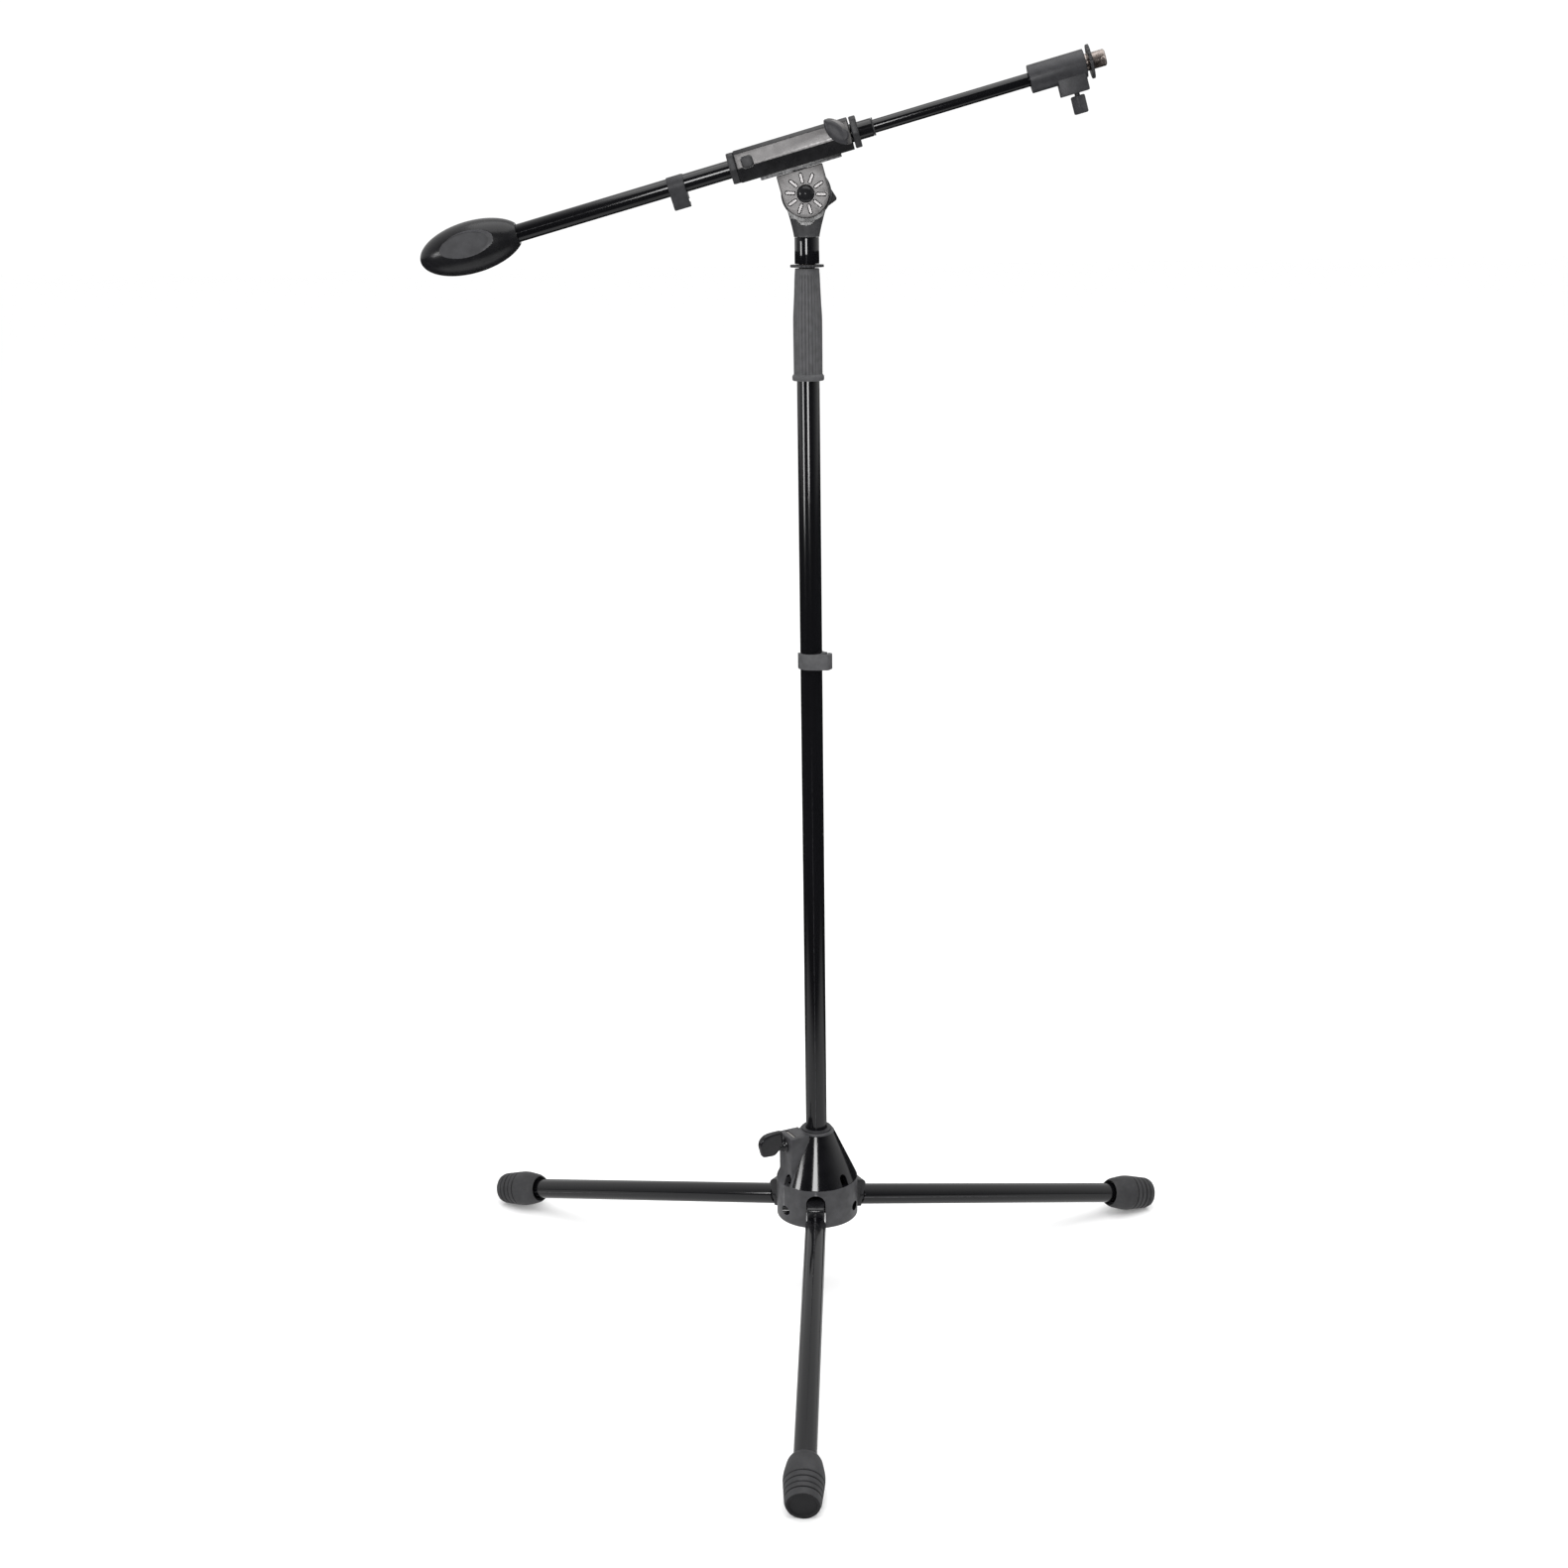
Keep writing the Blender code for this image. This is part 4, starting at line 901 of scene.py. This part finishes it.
def tilt_plate():
    """Front plate with a ring of raised rays round the bolt's cap."""
    front, back = 0.0165, 0.0075
    radius = PLATE_R
    outline = plate_outline(radius)
    place = TILT @ TO_FRONT
    plate = prism("tilt_shield", outline, back, front, place, 0.0011, 3, 30)
    rays = []
    for index in range(10):
        ray_place = place @ turned_by(90 + 36 * index, "Z")
        levels = [(arc((0.0181, 0), radius, -90, 90, 9) + arc((0.0112, 0), radius, 90, 270, 9), height)
                  for radius, height in ((0.0020, front - 0.0008), (0.0019, front), (0.0010, front + 0.0012))]
        rays.append(layered("ray", levels, ray_place))
    fuse(plate, *rays)
    cut(plate, rod("sink", 0.0068, 0.0117, 0.0300, place, 48), rod("bore", 0.0043, 0.0, 0.0300, place, 40))
    looks = ("plate_satin", "holder_casting", "ray_satin")
    show(plate, "swivel", looks, ["swivel_plate"], 24)
    # The front face keeps the grey satin as a painted reflection of the front light; the sides and back take
    # the black casting.
    paint_faces(plate, 1, lambda centre, normal: normal.z < 0.94 or centre.z < front - 0.0003)
    # The tops of the rays are painted a lighter satin as a painted glint.
    paint_faces(plate, 2, lambda centre, normal: normal.z > 0.94 and centre.z > front + 0.0009)

    dome = [(point[0], 0.0168 + point[1] * 0.62) for point in arc((0, 0), 0.0085, 90, 0, 14)]
    pip = [(0, 0.0226), (0.0007, 0.0225), (0.0010, 0.0221)]
    cap = revolve("tilt_dome", pip + dome[2:] + [(0, 0.0168)], place, 64)
    show(cap, "swivel", "knob_moulding", ["tilt_cap"])


# ---------------------------------------------------------------- boom

def holder_section(half):
    """Cross-section with local X to the front and Y up: a flat front face between sloping facets."""
    low = half - 0.0060
    top = half - 0.0034
    return [(-low, -half), (low, -half), (half, -0.0020), (half, top), (half - 0.0030, half),
            (-half + 0.0030, half), (-half, top), (-half, -0.0020)]


def section_piece(name, start, end, half, edge):
    """The holder's section between two stations of the boom."""
    outline = [(-x, y) for x, y in reversed(holder_section(half))]
    place = BOOM @ turned_by(90, "Z") @ turned_by(90, "X")
    return prism(name, outline, start, end, place, edge, 3, 20)


def button_outline(half):
    """Rounded square of the stud on the holder's front, in a place that looks forwards."""
    corners = [(-half, -half), (half, -half), (half, half), (-half, half)]
    return [(x - 0.0445, y + 0.0020) for x, y in round_corners(corners, 0.0038, 5)]


def boom_holder():
    low, high = -0.0555, 0.0555
    body = section_piece("holder_body", low, high, HOLDER_HALF, 0.0007)
    bore = BOOM_TUBE_R + 0.0020
    wing = moved_by(joint_station("wing_lever_turn"))
    fuse(body, box("pad", (-0.0370, -0.0080, -0.0180), (0.0420, 0.0060, -0.0130), BOOM, 0.0006))
    cut(body, rod("bore", bore, -0.1000, 0.1000, BOOM @ ALONG_X, 72),
        rod("wing_hole", 0.0034, 0.0, 0.0300, BOOM @ wing @ TO_FRONT, 32),
        prism("pocket", button_outline(0.0058), 0.0117, 0.0200, BOOM @ TO_FRONT))
    show(body, "swivel", ("holder_casting", "plate_satin"), ["boom_holder"])
    # the mesh's local -X is the front; its front facet is painted in the grey satin as a painted reflection
    # of the front light
    paint_faces(body, 1, lambda centre, normal: normal.x < -0.97 and centre.x < -HOLDER_HALF + 0.0010)


def holder_ends():
    sleeve_out, sleeve_in = BOOM_TUBE_R + 0.0017, BOOM_TUBE_R + GAP
    left = section_piece("holder_end_ring", -0.0626, -0.0558, HOLDER_HALF - 0.0006, 0.0009)
    cut(left, rod("bore", sleeve_in, -0.1000, 0.0, BOOM @ ALONG_X, 72))
    fuse(left, pipe("sleeve", sleeve_out, sleeve_in, -0.0600, -0.0350, BOOM @ ALONG_X, 72))
    show(left, "swivel", "black_moulding", ["holder_end_cap"])
    right = section_piece("holder_front_ring", 0.0570, 0.0633, HOLDER_HALF - 0.0004, 0.0009)
    cut(right, rod("bore", sleeve_in, 0.0, 0.1000, BOOM @ ALONG_X, 72))
    show(right, "swivel", "black_moulding", ["holder_collar"])
    button = cushioned("holder_stud", button_outline(0.0054), 0.0120, 0.0168, 0.0014, BOOM @ TO_FRONT)
    show(button, "swivel", "black_moulding", ["holder_button"])


def leaf_outline(half_width, half_length, offset):
    """A pointed oval made of two arcs."""
    bulge = (half_length ** 2 - half_width ** 2) / (2 * half_width)
    radius = bulge + half_width
    spread = math.degrees(math.asin(half_length / radius)) * 0.94
    return (arc((-bulge, offset), radius, -spread, spread, 15)
            + arc((bulge, offset), radius, 180 - spread, 180 + spread, 15))


def wing_lever():
    """Leaf-shaped clamp lever on the holder's front."""
    place = BOOM @ moved_by(joint_station("wing_lever_turn"))
    tip = BOOM_TUBE_R + GAP + 0.0018
    lever = revolve("leaf_lever", rounded([
        (0, 0.0236), (0.0050, 0.0236), (0.0060, 0.0226), (0.0060, HOLDER_HALF + GAP),
        (0.0030, HOLDER_HALF + GAP), (0.0030, tip), (0, tip),
    ], 0.0006), place @ TO_FRONT, 48)
    leaf_place = place @ moved_by(-0.0035, 0, 0.0012) @ turned_by(-29, "Y") @ TO_FRONT
    leaf = leaf_outline(0.0070, 0.0160, 0.0038)
    flange = [(x * 1.02 + 0.0030, y * 1.02 - 0.0018) for x, y in leaf]
    swell = [(1.0, 0.0198), (1.0, 0.0212), (0.94, 0.0226), (0.80, 0.0235), (0.55, 0.0241), (0.25, 0.0243)]
    layers = [(inset(flange, 0.0010), 0.0160), (flange, 0.0164), (flange, 0.0176)]
    layers += [([(x * share, (y - 0.0038) * share + 0.0038) for x, y in leaf], height)
               for share, height in swell]
    fuse(lever, layered("leaf", layers, leaf_place))
    show(lever, "wing_lever", ("head_moulding", "plate_satin"), ["boom_wing_lever"])
    # The step round the leaf's foot, which faces the front, is painted in the grey satin as a painted
    # highlight.
    paint_faces(lever, 1, lambda centre, normal: 0.0162 < centre.z < 0.0197 and normal.z > 0.25)


def boom_tubes():
    start, end = boom_ends("boom_outer_tube")
    place = BOOM @ ALONG_X
    inner = BOOM_TUBE_R - BOOM_WALL
    show(pipe("boom_pipe", BOOM_TUBE_R, inner, start, end, place, 96), "boom_outer",
         "tube_enamel", ["boom_outer_tube"])
    bush_end = boom_ends("boom_tube_bush")[1]
    bush = revolve("boom_bush_ring", rounded([
        (BOOM_TUBE_R, bush_end), (BOOM_TUBE_R, end + GAP), (inner - GAP, end + GAP), (inner - GAP, 0.0500),
        (BOOM_INNER_R + GAP, 0.0500), (BOOM_INNER_R + GAP, bush_end),
    ], 0.0004), place, 72)
    show(bush, "boom_outer", "black_moulding", ["boom_tube_bush"])
    start, end = boom_ends("boom_inner_tube")
    show(pipe("boom_inner_pipe", BOOM_INNER_R, BOOM_INNER_R - BOOM_WALL, start, end, place, 72), "boom_inner",
         "tube_enamel", ["boom_inner_tube"])
    clip_start, clip_end = boom_ends("boom_cable_clip")
    clip_place = BOOM @ moved_by((clip_start + clip_end) / 2) @ ALONG_X
    cable_clip("boom_clip_ring", BOOM_TUBE_R, 0.0066, clip_place, "boom_clip",
               "head_moulding", "boom_cable_clip")


def counterweight():
    """Egg-shaped weight with a flat, rimmed oval panel on its front, left blank."""
    start, end = boom_ends("counterweight")
    middle = (start + end) / 2
    radius = 0.0243
    reach = 1.04 * (end - start) / 2
    centre = start + reach
    mouth = math.degrees(math.asin(0.0105 / radius))
    angles = [math.radians(mouth + (180 - mouth) * i / 72) for i in range(72)]
    shell = [(radius * math.sin(a), centre + reach * math.cos(a)) for a in angles]
    bore = BOOM_TUBE_R + GAP
    outline = [(0, shell[0][1])] + shell + [(0, start)]
    weight = revolve("weight_egg", outline, BOOM @ ALONG_X, 144)
    panel = BOOM @ moved_by(middle - 0.0015) @ turned_by(-9.5, "X")
    floor = 0.0210
    half_long = reach * math.sqrt(1 - (floor / radius) ** 2)
    half_tall = math.sqrt(radius ** 2 - floor ** 2)
    sink = [(0.93 * half_long * math.cos(a), 0.90 * half_tall * math.sin(a))
            for a in (math.tau * i / 96 for i in range(96))]
    cut(weight, rod("bore", bore, -0.3303, 0.0, BOOM @ ALONG_X, 64),
        box("panel_flat", (-0.0500, -0.0400, -0.0300), (0.0500, -floor, 0.0300), panel),
        prism("panel_sink", sink, floor - 0.0007, floor + 0.0100, panel @ TO_FRONT))
    show(weight, "boom_outer", ("weight_skin", "panel_skin"), ["counterweight"], sharp=24)
    out = (BOOM @ ALONG_X).inverted().to_3x3() @ (panel.to_3x3() @ Vector((0, -1, 0)))
    paint_faces(weight, 1, lambda centre, normal: normal.dot(out) > 0.999 and centre.to_2d().length > 0.012)


def boom_head():
    start, end = boom_ends("boom_head")
    place = BOOM @ ALONG_X
    head = rod("head_barrel", 0.0130, start, end, place, 96, 0.0007)
    fuse(head, box("boss", (0.2525, -0.0095, -0.0240), (0.2795, 0.0095, -0.0020), BOOM, 0.0009))
    cut(head, rod("bore", BOOM_INNER_R + GAP, 0.2000, 0.2640, place, 64),
        rod("shank", 0.0053, 0.2600, 0.3000, place, 48),
        rod("screw_bore", 0.0028, -0.0400, -0.0058, BOOM @ moved_by(joint_station("head_screw_turn")), 32))
    show(head, "boom_head", "head_moulding", ["boom_head"])

    tip_start = end + GAP
    tip_end = boom_ends("boom_tip")[1]
    cut_from, cut_to = tip_start + 0.0010, tip_end - 0.0012
    outline = [(0, tip_end), (0.0066, tip_end)] + threaded_outline(STUD_R, cut_from, cut_to)
    outline += [(STUD_R, tip_start), (0.0050, tip_start), (0.0050, 0.2750), (0, 0.2750)]
    tip = revolve("thread_tip", outline, place, 64, threads(THREAD_PITCH, THREAD_DEPTH, cut_from, cut_to))
    show(tip, "boom_head", "tip_nickel", ["boom_tip"])
    lock_ring("tip_ring", 0.01575, 0.2848, 0.2876, place, "boom_ring", "boom_lock_ring")


def head_screw():
    """Thumb screw with a block-shaped knob, chamfered all round."""
    place = BOOM @ moved_by(joint_station("head_screw_turn"))
    screw = rod("thumb_screw", 0.0025, -0.0300, -0.0080, place, 32, 0.0003)
    knob = box("knob", (-0.0052, -0.0052, -0.0428), (0.0052, 0.0052, -0.0262), place @ turned_by(38, "Z"),
               0.0014, 2)
    fuse(screw, knob)
    return show(screw, "head_screw", "head_moulding", ["head_screw"])


# ---------------------------------------------------------------- pieces kept from the frame

def dress_hidden_nodes():
    """Finishes for the small pieces that keep their CAD shape."""
    finishes = {
        "plain_steel": ["hub_clamp_nut", "tilt_bolt"],
        "guide_plastic": ["hub_clamp_shoe", "clutch_insert", "clutch_collet", "mast_inner_glide",
                          "boom_inner_glide", "boom_clamp_shoe"],
        "black_moulding": ["mast_base_plug"],
        "sole_rubber": ["friction_washer"],
    }
    for look, names in finishes.items():
        for name in names:
            node = frame["nodes"][name]
            node.data.materials.clear()
            node.data.materials.append(LOOKS[look])


# ---------------------------------------------------------------- studio

def smooth_ramp(tree, value, start, end, low, high):
    limits = {"From Min": start, "From Max": end, "To Min": low, "To Max": high}
    ramp = add_node(tree, "ShaderNodeMapRange", limits, interpolation_type="SMOOTHSTEP")
    tree.links.new(value, ramp.inputs["Value"])
    return ramp.outputs["Result"]


def glossy_ray(tree):
    return add_node(tree, "ShaderNodeLightPath").outputs["Is Glossy Ray"]


def floor_material():
    """Plain pale paint; its gloss reflection fades out away from the stand, like a small sweep."""
    material = bpy.data.materials.new("floor_paint")
    material.use_nodes = True
    tree = material.node_tree
    shader = tree.nodes["Principled BSDF"]
    paint = {"Base Color": (0.97, 0.97, 0.97, 1.0), "Roughness": 0.9, "Specular IOR Level": 0.1}
    for socket, value in paint.items():
        shader.inputs[socket].default_value = value
    place = add_node(tree, "ShaderNodeTexCoord")
    squeeze = add_node(tree, "ShaderNodeMapping", {"Scale": (0.45, 1.0, 1.0)})
    tree.links.new(place.outputs["Object"], squeeze.inputs["Vector"])
    distance = add_node(tree, "ShaderNodeVectorMath", operation="LENGTH")
    tree.links.new(squeeze.outputs["Vector"], distance.inputs[0])
    reflected = add_node(tree, "ShaderNodeEmission")
    fade = smooth_ramp(tree, distance.outputs["Value"], 0.28, 0.58, 0.80, 0.03)
    tree.links.new(fade, reflected.inputs["Strength"])
    mix = add_node(tree, "ShaderNodeMixShader")
    tree.links.new(glossy_ray(tree), mix.inputs["Fac"])
    tree.links.new(shader.outputs["BSDF"], mix.inputs[1])
    tree.links.new(reflected.outputs["Emission"], mix.inputs[2])
    tree.links.new(mix.outputs["Shader"], tree.nodes["Material Output"].inputs["Surface"])
    return material


def add_floor():
    reach = 30.0
    corners = [(-reach, -reach, 0), (reach, -reach, 0), (reach, reach, 0), (-reach, reach, 0)]
    floor = new_object("studio_floor", corners, [(0, 1, 2, 3)], moved_by(0, 0, -0.0002))
    floor.data.materials.append(floor_material())


def add_light(name, location, target, size, power):
    light = bpy.data.lights.new(name, "AREA")
    light.shape = "RECTANGLE"
    light.size, light.size_y = size
    light.energy = power
    lamp = bpy.data.objects.new(name, light)
    bpy.context.scene.collection.objects.link(lamp)
    lamp.location = location
    lamp.rotation_euler = (Vector(target) - Vector(location)).to_track_quat("-Z", "Y").to_euler()
    lamp.visible_camera = False


def add_world():
    """Even white light all round; in the gloss it is a white backdrop behind and a dim room in front."""
    world = bpy.data.worlds.new("studio")
    bpy.context.scene.world = world
    world.use_nodes = True
    tree = world.node_tree
    background = tree.nodes["Background"]
    way = add_node(tree, "ShaderNodeTexCoord")
    split = add_node(tree, "ShaderNodeSeparateXYZ")
    tree.links.new(way.outputs["Generated"], split.inputs["Vector"])
    room = smooth_ramp(tree, split.outputs["Y"], -0.90, 0.35, 0.03, 0.85)
    mix = add_node(tree, "ShaderNodeMix", data_type="FLOAT")
    mix.inputs["A"].default_value = 1.05
    tree.links.new(glossy_ray(tree), mix.inputs["Factor"])
    tree.links.new(room, mix.inputs["B"])
    tree.links.new(mix.outputs["Result"], background.inputs["Strength"])
    background.inputs["Color"].default_value = (1.0, 1.0, 1.0, 1.0)


def add_studio():
    add_floor()
    add_world()
    add_light("key", (-0.15, -2.30, 1.20), (0, 0, 1.00), (0.62, 0.62), 18)
    add_light("left", (-3.24, -2.25, 1.12), (0, 0, 1.10), (0.90, 0.80), 27)
    add_light("top", (0.3, -0.6, 3.4), (0, -0.6, 0), (3.2, 3.2), 60)


def add_camera():
    """In front of the stand, a little above the boom and looking down."""
    data = bpy.data.cameras.new("view")
    data.lens = 51.72
    data.sensor_width = 36.0
    camera = bpy.data.objects.new("view", data)
    bpy.context.scene.collection.objects.link(camera)
    yaw, pitch, roll = 2.84, 15.04, -0.82
    turn = turned_by(yaw, "Z") @ turned_by(90 - pitch, "X") @ turned_by(roll, "Z")
    camera.matrix_world = moved_by(0.0806, -2.1113, 1.1641) @ turn
    bpy.context.scene.camera = camera


hub_casting()
hub_bush()
hub_knob()
legs()
mast_tubes()
grip()
mast_top()
mast_clip()
knuckle()
tilt_lever()
tilt_plate()
boom_holder()
holder_ends()
wing_lever()
boom_tubes()
counterweight()
boom_head()
head_screw()
dress_hidden_nodes()
add_studio()
add_camera()
bpy.context.scene.view_settings.view_transform = "Standard"
